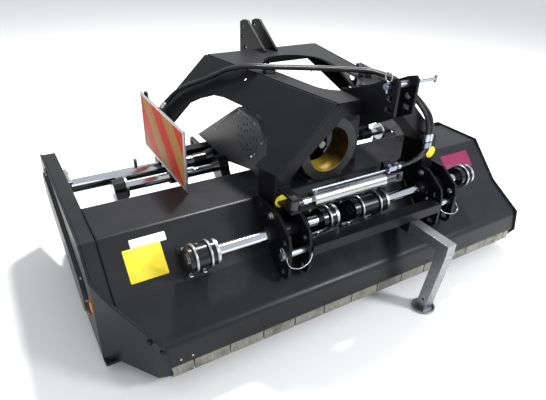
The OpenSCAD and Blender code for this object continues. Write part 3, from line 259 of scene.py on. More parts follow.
def scratch_group():
    """Mask of fine long scratches, stretched along one direction."""
    tree, w, source, sink = new_group(
        "Fine scratches", [("Place", "Vector", (0, 0, 0)), ("Scale", "Float", 60.0)], [("Mask", "Float")]
    )
    marks = w.noise(source.outputs["Scale"], 5.0, place=source.outputs["Place"])
    w.put(w.ramp(marks, 0.35, 0.75), sink.inputs["Mask"])
    return tree


EFFECTS = {"edges": edge_group, "grain": grain_group, "dust": dust_group, "scratches": scratch_group}
GROUPS = {}
LOOKS = {}


def shared(name):
    """The shader group of an effect, built when it is first used."""
    if name not in GROUPS:
        GROUPS[name] = EFFECTS[name]()
    return GROUPS[name]


def shade(tint, factor, lift=0.0):
    """A tint made darker or lighter."""
    return tuple(min(1.0, c * factor + lift) for c in tint)


def new_material(name, **fixed):
    """A material with one Principled shader, whose constant values are set on its own sockets."""
    made = bpy.data.materials.new(name)
    made.use_nodes = True
    made.node_tree.nodes.clear()
    w = Wires(made.node_tree)
    w.shader = w.node("BsdfPrincipled")
    w.put(w.shader.outputs[0], w.node("OutputMaterial").inputs["Surface"])
    for key, value in fixed.items():
        w.put(value, w.shader.inputs[key.replace("_", " ").title().replace("Ior", "IOR")])
    LOOKS[name] = made
    return w


def finish(w, base, rough, height, strength, depth, normal=None):
    """Gives a material its colour, its roughness and the height of its fine relief."""
    w.put(base, w.shader.inputs["Base Color"])
    w.put(rough, w.shader.inputs["Roughness"])
    bump = w.node("Bump")
    bump.inputs["Strength"].default_value = strength
    bump.inputs["Distance"].default_value = depth
    w.put(height, bump.inputs["Height"])
    if normal:
        w.put(normal, bump.inputs["Normal"])
    w.put(bump.outputs["Normal"], w.shader.inputs["Normal"])


def coat_material(name, tone, radius, rough, dust, wear, grain=900.0, depth=0.0001, gloss=0.14):
    """Black powder coat with round edges, slow tone changes, rubbed edges and a little dust."""
    coats = settings("coats")
    w = new_material(name, specular_ior_level=gloss)
    edges = w.effect("edges", radius=radius, amount=wear)
    grains = w.effect("grain", scale=grain)
    dusty = w.effect("dust", amount=dust)
    base = w.mix(grains["Tone"], shade(coats.coat, tone * 0.82), shade(coats.coat, tone * 1.25))
    base = w.mix(edges["Mask"], base, coats.bare_edge)
    base = w.mix(dusty["Mask"], base, coats.dust)
    smooth = w.ramp(grains["Tone"], 0.0, 1.0, rough - 0.05, rough + 0.06)
    dull = w.math("ADD", smooth, w.math("MULTIPLY", dusty["Mask"], 0.5))
    finish(w, base, dull, grains["Height"], 0.35, depth, edges["Normal"])


def metal_material(name, tint, rough, stretch, spread, scale=60.0, dark=0.75):
    """Bare or plated metal with fine marks that run one way."""
    w = new_material(name, metallic=1.0)
    marks = w.effect("scratches", place=w.place(stretch), scale=scale)
    edges = w.effect("edges", radius=0.001, amount=0.0)
    base = w.mix(marks["Mask"], shade(tint, dark), tint)
    dull = w.ramp(marks["Mask"], 0.0, 1.0, rough + spread, rough)
    finish(w, base, dull, marks["Mask"], 0.2, 0.00005, edges["Normal"])


def capped_material(name, cap_x, side, tint, rough, stretch):
    """Bright metal whose far end, past a place along X, is a black painted cap."""
    w = new_material(name)
    edge = at(cap_x, 0, 0).x
    blur = 0.0002 * side
    cap = w.ramp(w.axes(w.place())["X"], edge - blur, edge + blur)
    bare = w.math("SUBTRACT", 1.0, cap)
    marks = w.effect("scratches", place=w.place(stretch), scale=60.0)
    edges = w.effect("edges", radius=0.002, amount=0.3)
    base = w.mix(cap, w.mix(marks["Mask"], shade(tint, 0.8), tint), (0.009, 0.009, 0.011))
    worn = w.math("MULTIPLY", edges["Mask"], cap)
    w.put(w.mix(worn, base, (0.09, 0.09, 0.1)), w.shader.inputs["Base Color"])
    w.put(bare, w.shader.inputs["Metallic"])
    fine = w.math("MULTIPLY", w.ramp(marks["Mask"], 0, 1, rough - 0.03, rough + 0.05), bare)
    w.put(w.math("ADD", fine, w.math("MULTIPLY", cap, 0.3)), w.shader.inputs["Roughness"])
    w.put(edges["Normal"], w.shader.inputs["Normal"])


def galvanised_material():
    """Hot dip zinc: flat crystals of slightly different grey, and dull patches."""
    w = new_material("Galvanised", metallic=0.85)
    crystals = w.node("TexVoronoi", feature="F1")
    w.put(w.place(), crystals.inputs["Vector"])
    crystals.inputs["Scale"].default_value = 110.0
    split = w.node("SeparateColor")
    w.put(crystals.outputs["Color"], split.inputs[0])
    patches = w.noise(9.0, 6.0)
    tone = w.math("ADD", w.math("MULTIPLY", split.outputs[0], 0.45), w.math("MULTIPLY", patches, 0.55))
    edges = w.effect("edges", radius=0.003, amount=0.0)
    base = w.mix(tone, (0.15, 0.15, 0.155), (0.32, 0.32, 0.335))
    dull = w.ramp(tone, 0.2, 0.8, 0.46, 0.3)
    finish(w, base, dull, patches, 0.25, 0.0004, edges["Normal"])


def flap_material():
    """Dull olive grey steel with vertical rub marks, dark stains and lighter worn edges."""
    coats = settings("coats")
    w = new_material("Flap steel", metallic=0.15)
    marks = w.effect("scratches", place=w.place((14, 14, 1.2)), scale=22.0)
    stains = w.noise(11.0, 6.0)
    edges = w.effect("edges", radius=0.0015, amount=0.6)
    base = w.mix(marks["Mask"], shade(coats.flap, 0.55), shade(coats.flap, 1.5))
    base = w.mix(w.ramp(stains, 0.5, 0.72), base, (0.07, 0.066, 0.055))
    base = w.mix(edges["Mask"], base, (0.3, 0.29, 0.26))
    dull = w.ramp(stains, 0.3, 0.7, 0.42, 0.65)
    finish(w, base, dull, marks["Mask"], 0.3, 0.0003, edges["Normal"])


def plastic_material(name, tint, rough, grain=400.0, dust=0.15):
    """Moulded plastic with a fine grain and faint clouds of tone."""
    w = new_material(name)
    grains = w.effect("grain", scale=grain)
    edges = w.effect("edges", radius=0.002, amount=0.2)
    dusty = w.effect("dust", amount=dust)
    base = w.mix(grains["Tone"], shade(tint, 0.75), shade(tint, 1.25))
    base = w.mix(edges["Mask"], base, shade(tint, 1.8, lift=0.03))
    base = w.mix(dusty["Mask"], base, settings("coats").dust)
    dull = w.ramp(grains["Tone"], 0, 1, rough, rough + 0.1)
    finish(w, base, dull, grains["Height"], 0.3, 0.0002, edges["Normal"])


# Middle and inner radius of the round driveline guard
TUNNEL_MIDDLE = (-70, 0, 668)
TUNNEL_RADIUS = 0.1075


def tunnel_material():
    """Round driveline guard: black outside, mottled yellow inside, with painted shade in dark brown
    above its lit bottom.
    """
    coats = settings("coats")
    w = new_material("Driveline tunnel")
    axes = w.axes(w.place())
    centre = at(*TUNNEL_MIDDLE)
    dx = w.math("SUBTRACT", axes["X"], centre.x)
    dz = w.math("SUBTRACT", axes["Z"], centre.z)
    reach = w.math("SQRT", w.math("ADD", w.math("MULTIPLY", dx, dx), w.math("MULTIPLY", dz, dz)))
    inside = w.ramp(reach, TUNNEL_RADIUS + 0.0007, TUNNEL_RADIUS)
    mottle = w.ramp(w.noise(20.0, 5.0), 0.4, 0.65)
    # Painted light and shade: only the bottom of the inside keeps the bright yellow, as if lit from
    # above; higher up the yellow is painted dark brown as shade.
    lit_bottom_mask = w.ramp(w.math("ADD", dz, w.math("MULTIPLY", mottle, 0.02)), -0.06, -0.1)
    painted_shade_brown = w.mix(mottle, (0.022, 0.014, 0.004), (0.06, 0.038, 0.01))
    yellow = w.mix(lit_bottom_mask, painted_shade_brown, w.mix(mottle, shade(coats.tunnel, 0.55), coats.tunnel))
    grains = w.effect("grain", scale=500.0)
    edges = w.effect("edges", radius=0.002, amount=0.3)
    black = w.mix(grains["Tone"], (0.014, 0.0145, 0.016), (0.026, 0.027, 0.03))
    base = w.mix(edges["Mask"], w.mix(inside, black, yellow), (0.1, 0.1, 0.1))
    dull = w.ramp(grains["Tone"], 0, 1, 0.33, 0.46)
    finish(w, base, dull, grains["Height"], 0.3, 0.0002, edges["Normal"])


# Slope of the stripes, and how far they are moved along
DIAGONAL = 0.7071
STRIPE_SHIFT = 10.37


def stripe_material():
    """Reflective sheet with diagonal stripes and a fine honeycomb of cells."""
    boards = settings("boards")
    w = new_material("Reflective stripes", specular_ior_level=0.15)
    axes = w.axes(w.place())
    slant = w.math("MULTIPLY", w.math("SUBTRACT", axes["Z"], axes["Y"]), DIAGONAL / boards.stripe)
    band = w.math("FRACT", w.math("ADD", w.math("MULTIPLY", slant, 0.5), STRIPE_SHIFT))
    red = w.ramp(w.math("ABSOLUTE", w.math("SUBTRACT", band, 0.5)), 0.249, 0.251)
    cells = w.node("TexVoronoi", feature="DISTANCE_TO_EDGE")
    w.put(w.place(), cells.inputs["Vector"])
    cells.inputs["Scale"].default_value = 210.0
    cells.inputs["Randomness"].default_value = 0.12
    lines = w.ramp(cells.outputs["Distance"], 0.02, 0.09)
    base = w.mix(red, boards.pale, boards.red)
    tone = w.ramp(w.noise(7.0, 4.0), 0.3, 0.7)
    base = w.mix(w.math("MULTIPLY", tone, 0.3), base, w.mix(red, (0.5, 0.27, 0.09), (0.8, 0.13, 0.06)))
    base = w.mix(lines, w.mix(0.35, base, (0.05, 0.03, 0.02)), base)
    finish(w, base, w.ramp(lines, 0, 1, 0.6, 0.42), lines, 0.25, 0.0003)


def sheet_material(name, tint):
    """Bare coloured film with faint scuffs."""
    w = new_material(name, coat_weight=0.08, specular_ior_level=0.3)
    scuffs = w.ramp(w.noise(30.0, 6.0), 0.45, 0.75)
    base = w.mix(scuffs, tint, shade(tint, 0.84))
    finish(w, base, w.ramp(scuffs, 0, 1, 0.45, 0.6), w.noise(160.0, 2.0), 0.1, 0.0001)


def hose_material():
    """Smooth black hose rubber with a faint wrapped-cloth texture and rub marks."""
    w = new_material("Hose rubber", specular_ior_level=0.3)
    rubbed = w.ramp(w.noise(26.0, 6.0), 0.45, 0.75)
    base = w.mix(rubbed, (0.007, 0.007, 0.008), (0.02, 0.02, 0.021))
    finish(w, base, w.ramp(rubbed, 0, 1, 0.38, 0.55), w.noise(1500.0, 1.0), 0.3, 0.0003)


# Mesh helpers

# Folds sharper than this keep a sharp edge
SHARP_FOLD = math.radians(38)
# Least radius of a turned form, where it comes to a point
POINT_RADIUS = 0.00002
# Turn of every bolt's hexagon, in radians
HEAD_TURN = 0.3


def add_object(name, data):
    made = bpy.data.objects.new(name, data)
    bpy.context.scene.collection.objects.link(made)
    return made


def add_mesh(name, mesh, look):
    """An object with one finish, made from a bmesh."""
    data = bpy.data.meshes.new(name)
    mesh.to_mesh(data)
    mesh.free()
    data.materials.append(LOOKS[look])
    return add_object(name, data)


def new_piece(name, mesh, look, body):
    """A piece that rides on a body, or stands on its own when it has none."""
    bmesh.ops.recalc_face_normals(mesh, faces=mesh.faces)
    made = add_mesh(name, mesh, look)
    made.data.shade_smooth()
    made.data.set_sharp_from_angle(angle=SHARP_FOLD)
    if body:
        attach(made, body)
    return made


def add_rings(mesh, rings, place=Matrix.Identity(4), loop=False):
    """Joins rings of points, given in order, into a skin with two ends or into a loop."""
    made = [[mesh.verts.new(place @ Vector(p)) for p in points] for points in rings]
    pairs = list(zip(made, made[1:]))
    if loop:
        pairs.append((made[-1], made[0]))
    for low, high in pairs:
        for i in range(len(low)):
            j = (i + 1) % len(low)
            mesh.faces.new((low[i], low[j], high[j], high[i]))
    if not loop:
        mesh.faces.new(made[0][::-1])
        mesh.faces.new(made[-1])


def ring(radius, height, sides, turn=0.0):
    angles = [turn + 2 * math.pi * k / sides for k in range(sides)]
    return [(radius * math.cos(a), radius * math.sin(a), height) for a in angles]


def add_turned(mesh, profile, spot, direction, sides, turn=0.0):
    """A turned form: radius and height pairs about an axis."""
    place = Matrix.Translation(spot) @ Vector(direction).to_track_quat("Z", "Y").to_matrix().to_4x4()
    add_rings(mesh, [ring(max(r, POINT_RADIUS), h, sides, turn) for r, h in profile], place)


def add_bolt(mesh, spot, direction, size, washer=True):
    """A hexagon head with chamfered corners on a washer. Size is the width across corners."""
    r = size / 2
    base = 0.0
    if washer:
        base = size * 0.12
        rim = [(r * 1.25, 0.0), (r * 1.25, base * 0.7), (r * 1.18, base)]
        add_turned(mesh, rim, spot, direction, 24)
    rise = size * 0.38
    head = [(1.0, 0.0), (1.0, 0.8), (0.86, 1.0), (0.8, 1.01)]
    profile = [(r * wide, base + rise * high) for wide, high in head]
    add_turned(mesh, profile, spot, direction, 6, HEAD_TURN)


def add_dome(mesh, spot, direction, radius, rise):
    """A round head, flat below."""
    profile = [(radius, 0.0), (radius, rise * 0.25)]
    for a in (0.35, 0.7, 1.05, 1.35):
        profile.append((radius * math.cos(a), rise * (0.25 + 0.75 * math.sin(a))))
    profile.append((0.0, rise))
    add_turned(mesh, profile, spot, direction, 16)


def rounded_route(points, steps=6):
    """A smooth route through points."""
    route = []
    count = len(points)
    for i in range(count - 1):
        a = points[max(i - 1, 0)]
        b, c = points[i], points[i + 1]
        d = points[min(i + 2, count - 1)]
        for k in range(steps):
            t = k / steps
            spot = 2 * b + (c - a) * t
            spot += (2 * a - 5 * b + 4 * c - d) * t * t
            spot += (3 * b - a - 3 * c + d) * t**3
            route.append(0.5 * spot)
    route.append(points[-1])
    return route


def add_tube(mesh, route, radius, sides, loop=False):
    """A tube along a route. Radius may be a number or a function of the point along the route."""
    size = radius if callable(radius) else lambda i: radius
    count = len(route)
    tangents = []
    for i in range(count):
        before = route[i - 1] if loop or i else route[i]
        after = route[(i + 1) % count] if loop or i < count - 1 else route[i]
        tangents.append((after - before).normalized())
    side = tangents[0].orthogonal().normalized()
    angles = [2 * math.pi * k / sides for k in range(sides)]
    rings = []
    for i in range(count):
        side = (side - tangents[i] * side.dot(tangents[i])).normalized()
        up = tangents[i].cross(side)
        rings.append([route[i] + size(i) * (math.cos(a) * side + math.sin(a) * up) for a in angles])
    add_rings(mesh, rings, loop=loop)


# Length of one ripple of a weld bead
RIPPLE = 0.0035


def add_weld(mesh, start, end, radius):
    """A lumpy bead between two places."""
    steps = max(6, int((end - start).length / RIPPLE))
    route = [start.lerp(end, i / steps) for i in range(steps + 1)]
    for p in route:
        p += 0.15 * radius * Vector((noise.noise(p * 90), noise.noise(p * 90 + Vector((5, 0, 0))), 0))

    def lumps(i):
        return radius * (1 + 0.16 * math.sin(i * 2.1) + 0.12 * noise.noise(route[i] * 60))

    add_tube(mesh, route, lumps, 8)


def add_sheet(mesh, middle, across, up, width, height, corner, thickness):
    """A thin sheet with round corners, lying on the plane of across and up."""
    across = Vector(across).normalized()
    up = Vector(up).normalized()
    out = across.cross(up).normalized()
    outline = []
    for quarter, (sx, sy) in enumerate(((1, 1), (-1, 1), (-1, -1), (1, -1))):
        for k in range(7):
            a = math.pi / 2 * (quarter + k / 6)
            x = sx * (width / 2 - corner) + corner * math.cos(a)
            y = sy * (height / 2 - corner) + corner * math.sin(a)
            outline.append((x, y))
    rings = []
    for inset, rise in ((0, 0), (0, thickness * 0.7), (thickness * 0.4, thickness)):
        scale_x = 1 - 2 * inset / width
        scale_y = 1 - 2 * inset / height
        rings.append([middle + across * x * scale_x + up * y * scale_y + out * rise for x, y in outline])
    add_rings(mesh, rings)


# Operators: one for each group of pieces


class MOWER_OT_coats(bpy.types.Operator):
    """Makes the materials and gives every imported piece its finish"""

    bl_idname = "mower.coats"
    bl_label = "Coats and metals"

    def execute(self, context):
        coats = settings("coats")
        sheets = settings("sheets")
        coat_material(
            "Hood coat", 1.1, coats.hood_fold, rough=0.34, dust=0.04, wear=0.1, grain=1100.0, gloss=0.2
        )
        # Painted shade: the headstock frame's copy of the black coat is darkened to half tone to stand
        # in for the shade it lies in.
        coat_material("Frame coat", 0.5, coats.plate_edge, rough=0.34, dust=0.04, wear=0.4)
        coat_material("Panel coat", 0.75, 0.004, rough=0.38, dust=0.03, wear=0.3)
        coat_material(
            "Gloss casting", 0.5, 0.003, rough=0.24, dust=0.02, wear=0.2,
            grain=240.0, depth=0.0003, gloss=0.35,
        )
        coat_material("Inner coat", 1.6, 0.002, rough=0.55, dust=0.6, wear=0.6)
        metal_material("Chrome", (0.6, 0.62, 0.66), 0.07, (0.6, 14, 14), spread=0.05, dark=0.9)
        capped_material("Honed barrel", 46, 1, (0.42, 0.42, 0.41), 0.26, (0.5, 20, 20))
        capped_material("Rod chrome", -366, -1, (0.62, 0.64, 0.68), 0.08, (0.6, 14, 14))
        metal_material("Bright zinc", (0.52, 0.54, 0.57), 0.22, (9, 9, 9), spread=0.2, scale=30.0)
        metal_material("Dark zinc", (0.3, 0.33, 0.42), 0.22, (9, 9, 9), spread=0.15, scale=30.0)
        metal_material("Brushed aluminium", (0.62, 0.64, 0.68), 0.3, (1, 1, 16), spread=0.15)
        metal_material("Machined steel", (0.45, 0.45, 0.46), 0.3, (1, 12, 12), spread=0.2, dark=0.6)
        metal_material(
            "Forged steel", (0.2, 0.17, 0.145), 0.5, (3, 3, 3), spread=0.25, scale=24.0, dark=0.45
        )
        galvanised_material()
        flap_material()
        plastic_material("Guard plastic", coats.guard, 0.42, dust=0.25)
        plastic_material("Black plastic", (0.018, 0.018, 0.02), 0.38)
        plastic_material("Amber lens", (0.75, 0.2, 0.01), 0.16, grain=120.0, dust=0.0)
        plastic_material("Drive rubber", (0.014, 0.014, 0.014), 0.6, grain=900.0)
        tunnel_material()
        stripe_material()
        hose_material()
        for name in ("yellow", "white", "crimson"):
            sheet_material(name.capitalize() + " sheet", getattr(sheets, name))
        looks = {
            "Hood coat": [
                "hood_shell", "left_end_plate", "right_end_plate", "belt_cover", "belt_case", "skids",
            ],
            "Frame coat": [
                "front_frame", "rear_frame", "front_mast", "rear_mast", "front_hitch_brackets",
                "rear_hitch_brackets", "guide_sleeves", "cross_beam", "cylinder_bracket", "board_posts",
                "roller_brackets",
            ],
            "Panel coat": ["side_panels", "top_plate"],
            "Gloss casting": [
                "bar_brackets", "gearbox_housing", "rotor_bearings", "rotor_pulley", "drive_pulley",
            ],
            "Inner coat": ["rotor_tube", "rear_roller"],
            "Chrome": ["guide_bars", "drive_tube"],
            "Rod chrome": ["cylinder_rod"],
            "Honed barrel": ["cylinder_barrel"],
            "Bright zinc": [
                "bar_clamps", "deck_screws", "cylinder_lines", "top_link_clip", "left_hitch_pin",
                "right_hitch_pin", "hammer_bolts",
            ],
            "Dark zinc": ["top_link_pin"],
            "Machined steel": ["drive_shaft", "input_shaft", "flap_hinge_rod", "counter_blade"],
            "Forged steel": ["hammers"],
            "Galvanised": ["support_stand", "left_board", "right_board"],
            "Flap steel": [f"front_flaps_{i}" for i in range(1, 8)],
            "Guard plastic": ["gearbox_guard"],
            "Driveline tunnel": ["driveline_guard"],
            "Black plastic": ["hose_clamps"],
            "Amber lens": ["side_reflector"],
            "Drive rubber": ["drive_belts", "rear_rubber_flap"],
            "Hose rubber": ["hydraulic_hoses"],
        }
        for look, nodes in looks.items():
            for name in nodes:
                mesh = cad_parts[name].data
                mesh.materials.clear()
                mesh.materials.append(LOOKS[look])
        return {"FINISHED"}


# Middle line of the first hose over the headstock, and steps from it to the hose beside it
HOSE_ROUTE = [
    (-597, 968, 706), (-576, 972, 727), (-548, 972, 758), (-508, 958, 797), (-462, 919, 833),
    (-428, 872, 859), (-374, 815, 897), (-338, 762, 932), (-300, 706, 956), (-250, 655, 966),
    (-190, 618, 966), (-110, 575, 966), (-20, 526, 966), (80, 465, 966), (184, 392, 966),
    (212, 340, 966), (246, 265, 952), (276, 195, 916), (306, 142, 872), (332, 110, 826),
    (348, 98, 776), (352, 96, 735), (352, 96, 700),
]
START_STEP = Vector((-9.5, -15.5, 12.4))
TOP_STEP = Vector((-18, -17, 0))
LEG_STEP = Vector((-22, 0, 0))
# Points of the route: those in the panel, the turn down the leg, and the ties with their own size
PANEL_POINTS = 2
LEG_START = 15
LEG_TURN = 4
TIE_POINTS = (4, 6, 12, 17, 20)
TIE_SIDES = 28
TIE_REACH = 0.0112
# The same for the two short hoses from the leg to the cylinder, which are a little thinner
TAIL_ROUTE = [
    (352, 96, 697), (352, 96, 668), (334, 95, 640), (292, 92, 622), (240, 84, 620), (194, 70, 632),
    (160, 59, 646), (136, 56, 649), (118, 56, 649),
]
TAIL_STEPS = [
    (-20, 0, 0), (-20, 0, 0), (-15, -2, 14), (-4, -6, 18), (0, -12, 15), (0, -17, 8), (0, -18, 2),
    (0, -18, 0), (0, -18, 0),
]
TAIL_THINNER = 0.0014


def hose_step(i):
    """Step to the second hose at a point of the route."""
    if i < PANEL_POINTS:
        return START_STEP
    return TOP_STEP.lerp(LEG_STEP, min(max((i - LEG_START) / LEG_TURN, 0), 1))


class MOWER_OT_hoses(bpy.types.Operator):
    """Round hoses over the headstock, with crimped ends and ties"""

    bl_idname = "mower.hoses"
    bl_label = "Hydraulic hoses"

    def execute(self, context):
        hoses = settings("hoses")
        rubber = bmesh.new()
        sleeves = bmesh.new()
        ties = bmesh.new()
        first = [at(*p) for p in HOSE_ROUTE]
        second = [at(*(Vector(p) + hose_step(i))) for i, p in enumerate(HOSE_ROUTE)]
        # Crimped sleeve with five ribs
        crimp = [(0.0, 0.0005), (0.011, 0.0005), (0.0115, 0.003)]
        for k in range(5):
            crimp += [(hoses.sleeve, 0.005 + k * 0.006), (hoses.sleeve - 0.0008, 0.009 + k * 0.006)]
        crimp += [(hoses.radius + 0.0003, 0.036), (hoses.radius - 0.002, 0.037)]
        for points in (first, second):
            route = rounded_route(points)
            add_tube(rubber, route, hoses.radius, hoses.sides)
            for tip, inward in ((route[0], route[3]), (route[-1], route[-4])):
                add_turned(sleeves, crimp, tip, (inward - tip).normalized(), 20)
        pair = new_piece("hose_pair", rubber, "Hose rubber", "headstock")
        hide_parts("hydraulic_hoses")
        new_piece("hose_sleeves", sleeves, "Bright zinc", "headstock")
        for i in TIE_POINTS:
            ahead = (first[i + 1] - first[i]).normalized()
            across = second[i] - first[i]
            across -= ahead * across.dot(ahead)
            up = ahead.cross(across).normalized()
            half = across.length / 2
            across.normalize()
            middle = (first[i] + second[i]) / 2
            band = []
            for k in range(TIE_SIDES):
                t = 2 * math.pi * k / TIE_SIDES
                wide = half * max(-1, min(1, 2.2 * math.cos(t))) + TIE_REACH * math.cos(t)
                band.append(middle + across * wide + up * TIE_REACH * math.sin(t))
            add_tube(ties, band, 0.0012, 6, loop=True)
            buckle = [(0.0, 0), (0.003, 0), (0.003, 0.006), (0.0, 0.006)]
            add_turned(ties, buckle, middle + up * TIE_REACH, up, 4)
        new_piece("hose_ties", ties, "Black plastic", "headstock")
        return {"FINISHED"}


class MOWER_OT_cylinder(bpy.types.Operator):
    """Pipe, unions and hose ends of the side-shift cylinder"""

    bl_idname = "mower.cylinder"
    bl_label = "Cylinder fittings"

    def execute(self, context):
        hoses = settings("hoses")
        metal = bmesh.new()
        rubber = bmesh.new()
        up = (0, 0, 1)
        right = (1, 0, 0)
        # The long pipe rises from a boss at the barrel's left end and runs into the block
        pipe = [(-306, 47, 634), (-306, 47, 639), (-303, 47, 641), (-298, 47, 641), (60, 47, 641)]
        add_tube(metal, rounded_route([at(*p) for p in pipe], 4), 0.005, 12)
        left_boss = [(0.009, 0), (0.009, 0.006), (0.0065, 0.007), (0.0065, 0.012)]
        add_turned(metal, left_boss, at(-306, 47, 629), up, 16)
        add_bolt(metal, at(-306, 47, 634), up, 0.017, washer=False)
        right_boss = [(0.0115, 0), (0.0115, 0.008), (0.009, 0.009), (0.009, 0.018)]
        add_turned(metal, right_boss, at(72, 47, 627), up, 20)
        # Block on the right boss with a chamfered top, a bolt and two unions
        side = [(60, 29), (102, 29), (102, 65), (60, 65)]
        top = [(62, 31), (100, 31), (100, 63), (62, 63)]
        levels = ((side, 639), (side, 657), (top, 659))
        add_rings(metal, [[at(x, y, z) for x, y in outline] for outline, z in levels])
        add_bolt(metal, at(72, 47, 658.5), up, 0.019)
        union = [
            (0.0, 0.006), (0.0075, 0.007), (0.0115, 0.008), (0.0125, 0.01), (0.0125, 0.024),
            (0.0105, 0.026), (0.0, 0.0262),
        ]
        for y in (38, 56):
            add_bolt(metal, at(102, y, 649), right, 0.0205, washer=False)
            add_turned(metal, union, at(102, y, 649), right, 20)
        sleeve = [(0.0, 0.0), (0.0118, 0.0005), (0.0122, 0.004), (0.0122, 0.026), (0.0092, 0.028)]
        for second in (False, True):
            points = [at(*(Vector(p) + Vector(s) * second)) for p, s in zip(TAIL_ROUTE, TAIL_STEPS)]
            route = rounded_route(points)
            add_tube(rubber, route, hoses.radius - TAIL_THINNER, hoses.sides)
            add_turned(metal, sleeve, route[0], (route[3] - route[0]).normalized(), 20)
        pipes = new_piece("cylinder_pipes", metal, "Dark zinc", "mower_body")
        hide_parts("cylinder_lines")
        tails = new_piece("cylinder_tails", rubber, "Hose rubber", None)
        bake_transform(tails)
        return {"FINISHED"}


# Hinge posts, and how far out and behind their middle a board's face and hinge edge stand
POST_X = 660
POST_Y = 1000
FACE_OUT = 24
EDGE_BEHIND = 11
# The boards, of which the right one is turned on its post
BOARD_YAW = math.radians(9.2)
BOARD_WIDE = 564
BOARD_TALL = 282
BOARD_LOW = 518


def board_place(side, along, height, out):
    """A place on a board, in millimetres from its hinge edge, its lower edge and its face."""
    yaw = BOARD_YAW if side > 0 else 0.0
    x = FACE_OUT + out
    y = EDGE_BEHIND - along
    turned_x = x * math.cos(yaw) + y * math.sin(yaw)
    turned_y = -x * math.sin(yaw) + y * math.cos(yaw)
    return at(side * (POST_X + turned_x), POST_Y + turned_y, BOARD_LOW + height)


class MOWER_OT_boards(bpy.types.Operator):
    """Striped sheets, rims and rivets of the warning boards, and caps of their posts"""

    bl_idname = "mower.boards"
    bl_label = "Warning boards"

    def execute(self, context):
        boards = settings("boards")
        rim = boards.rim * 1000
        middle = BOARD_WIDE / 2
        centre = BOARD_TALL / 2
        # The sheet reaches a little way under the rim
        sheet_wide = BOARD_WIDE / 1000 - 1.6 * boards.rim
        sheet_tall = BOARD_TALL / 1000 - 1.6 * boards.rim
        strips = [
            (middle, rim / 2, BOARD_WIDE - 2, rim),
            (middle, BOARD_TALL - rim / 2, BOARD_WIDE - 2, rim),
            (rim / 2, centre, rim, BOARD_TALL - 2 * rim),
            (BOARD_WIDE - rim / 2, centre, rim, BOARD_TALL - 2 * rim),
        ]
        up = Vector((0, 0, 1))
        for side, word in ((-1, "left"), (1, "right")):
            body = word + "_board_body"
            across = (board_place(side, 0, 0, 0) - board_place(side, 100, 0, 0)) * side
            out = board_place(side, 0, 0, 10) - board_place(side, 0, 0, 0)
            sheet = bmesh.new()
            place = board_place(side, middle, centre, 0.15)
            add_sheet(sheet, place, across, up, sheet_wide, sheet_tall, 0.004, 0.0006)
            new_piece(word + "_board_sheet", sheet, "Reflective stripes", body)
            edge = bmesh.new()
            for along, height, wide, tall in strips:
                place = board_place(side, along, height, 0.2)
                add_sheet(edge, place, across, up, wide / 1000, tall / 1000, 0.0015, 0.0022)
            for along in (30, middle, BOARD_WIDE - 30):
                for height in (rim / 2, BOARD_TALL - rim / 2):
                    add_dome(edge, board_place(side, along, height, 2.3), out, 0.0035, 0.0016)
            new_piece(word + "_board_rim", edge, "Brushed aluminium", body)
            # Two rivets through each hinge strap, seen from behind
            rivets = bmesh.new()
            for height in (95, 113, 223, 241):
                add_dome(rivets, board_place(side, 16, height, -3.2), -out, 0.0045, 0.0022)
            new_piece(word + "_board_rivets", rivets, "Bright zinc", body)
        caps = bmesh.new()
        for side in (-1, 1):
            add_dome(caps, at(side * POST_X, POST_Y, 794), (0, 0, 1), 0.0112, 0.005)
        new_piece("post_caps", caps, "Black plastic", "headstock")
        return {"FINISHED"}


# The hood's front slope and the lip under it: a point as Y and Z, then run back and rise
SLOPE_Y, SLOPE_Z, SLOPE_RUN, SLOPE_RISE = 115, 342, 171, 173
LIP_Y, LIP_Z, LIP_RUN, LIP_RISE = -84, 140, 18, 94
SLOPE_UP = Vector((0, SLOPE_RUN, SLOPE_RISE)).normalized()
SLOPE_OUT = Vector((0, -SLOPE_RISE, SLOPE_RUN)).normalized()
LIP_OUT = Vector((0, -LIP_RISE, LIP_RUN)).normalized()
# Outer faces of the two ends, and the cut corner that starts from the left one
CORNER_Y, CORNER_RUN, CORNER_WIDE = 180, 210, 145
LEFT_FACE = -1172
RIGHT_FACE = 965


def slope_place(x, z, out):
    """A place on the hood's front slope at a height, out from its face in millimetres."""
    return at(x, SLOPE_Y + (z - SLOPE_Z) * SLOPE_RUN / SLOPE_RISE, z) + SLOPE_OUT * out / 1000


def lip_place(x, z):
    return at(x, LIP_Y + (z - LIP_Z) * LIP_RUN / LIP_RISE, z)


def corner_place(x, z):
    return at(x, CORNER_Y - (x - LEFT_FACE) * CORNER_RUN / CORNER_WIDE, z)


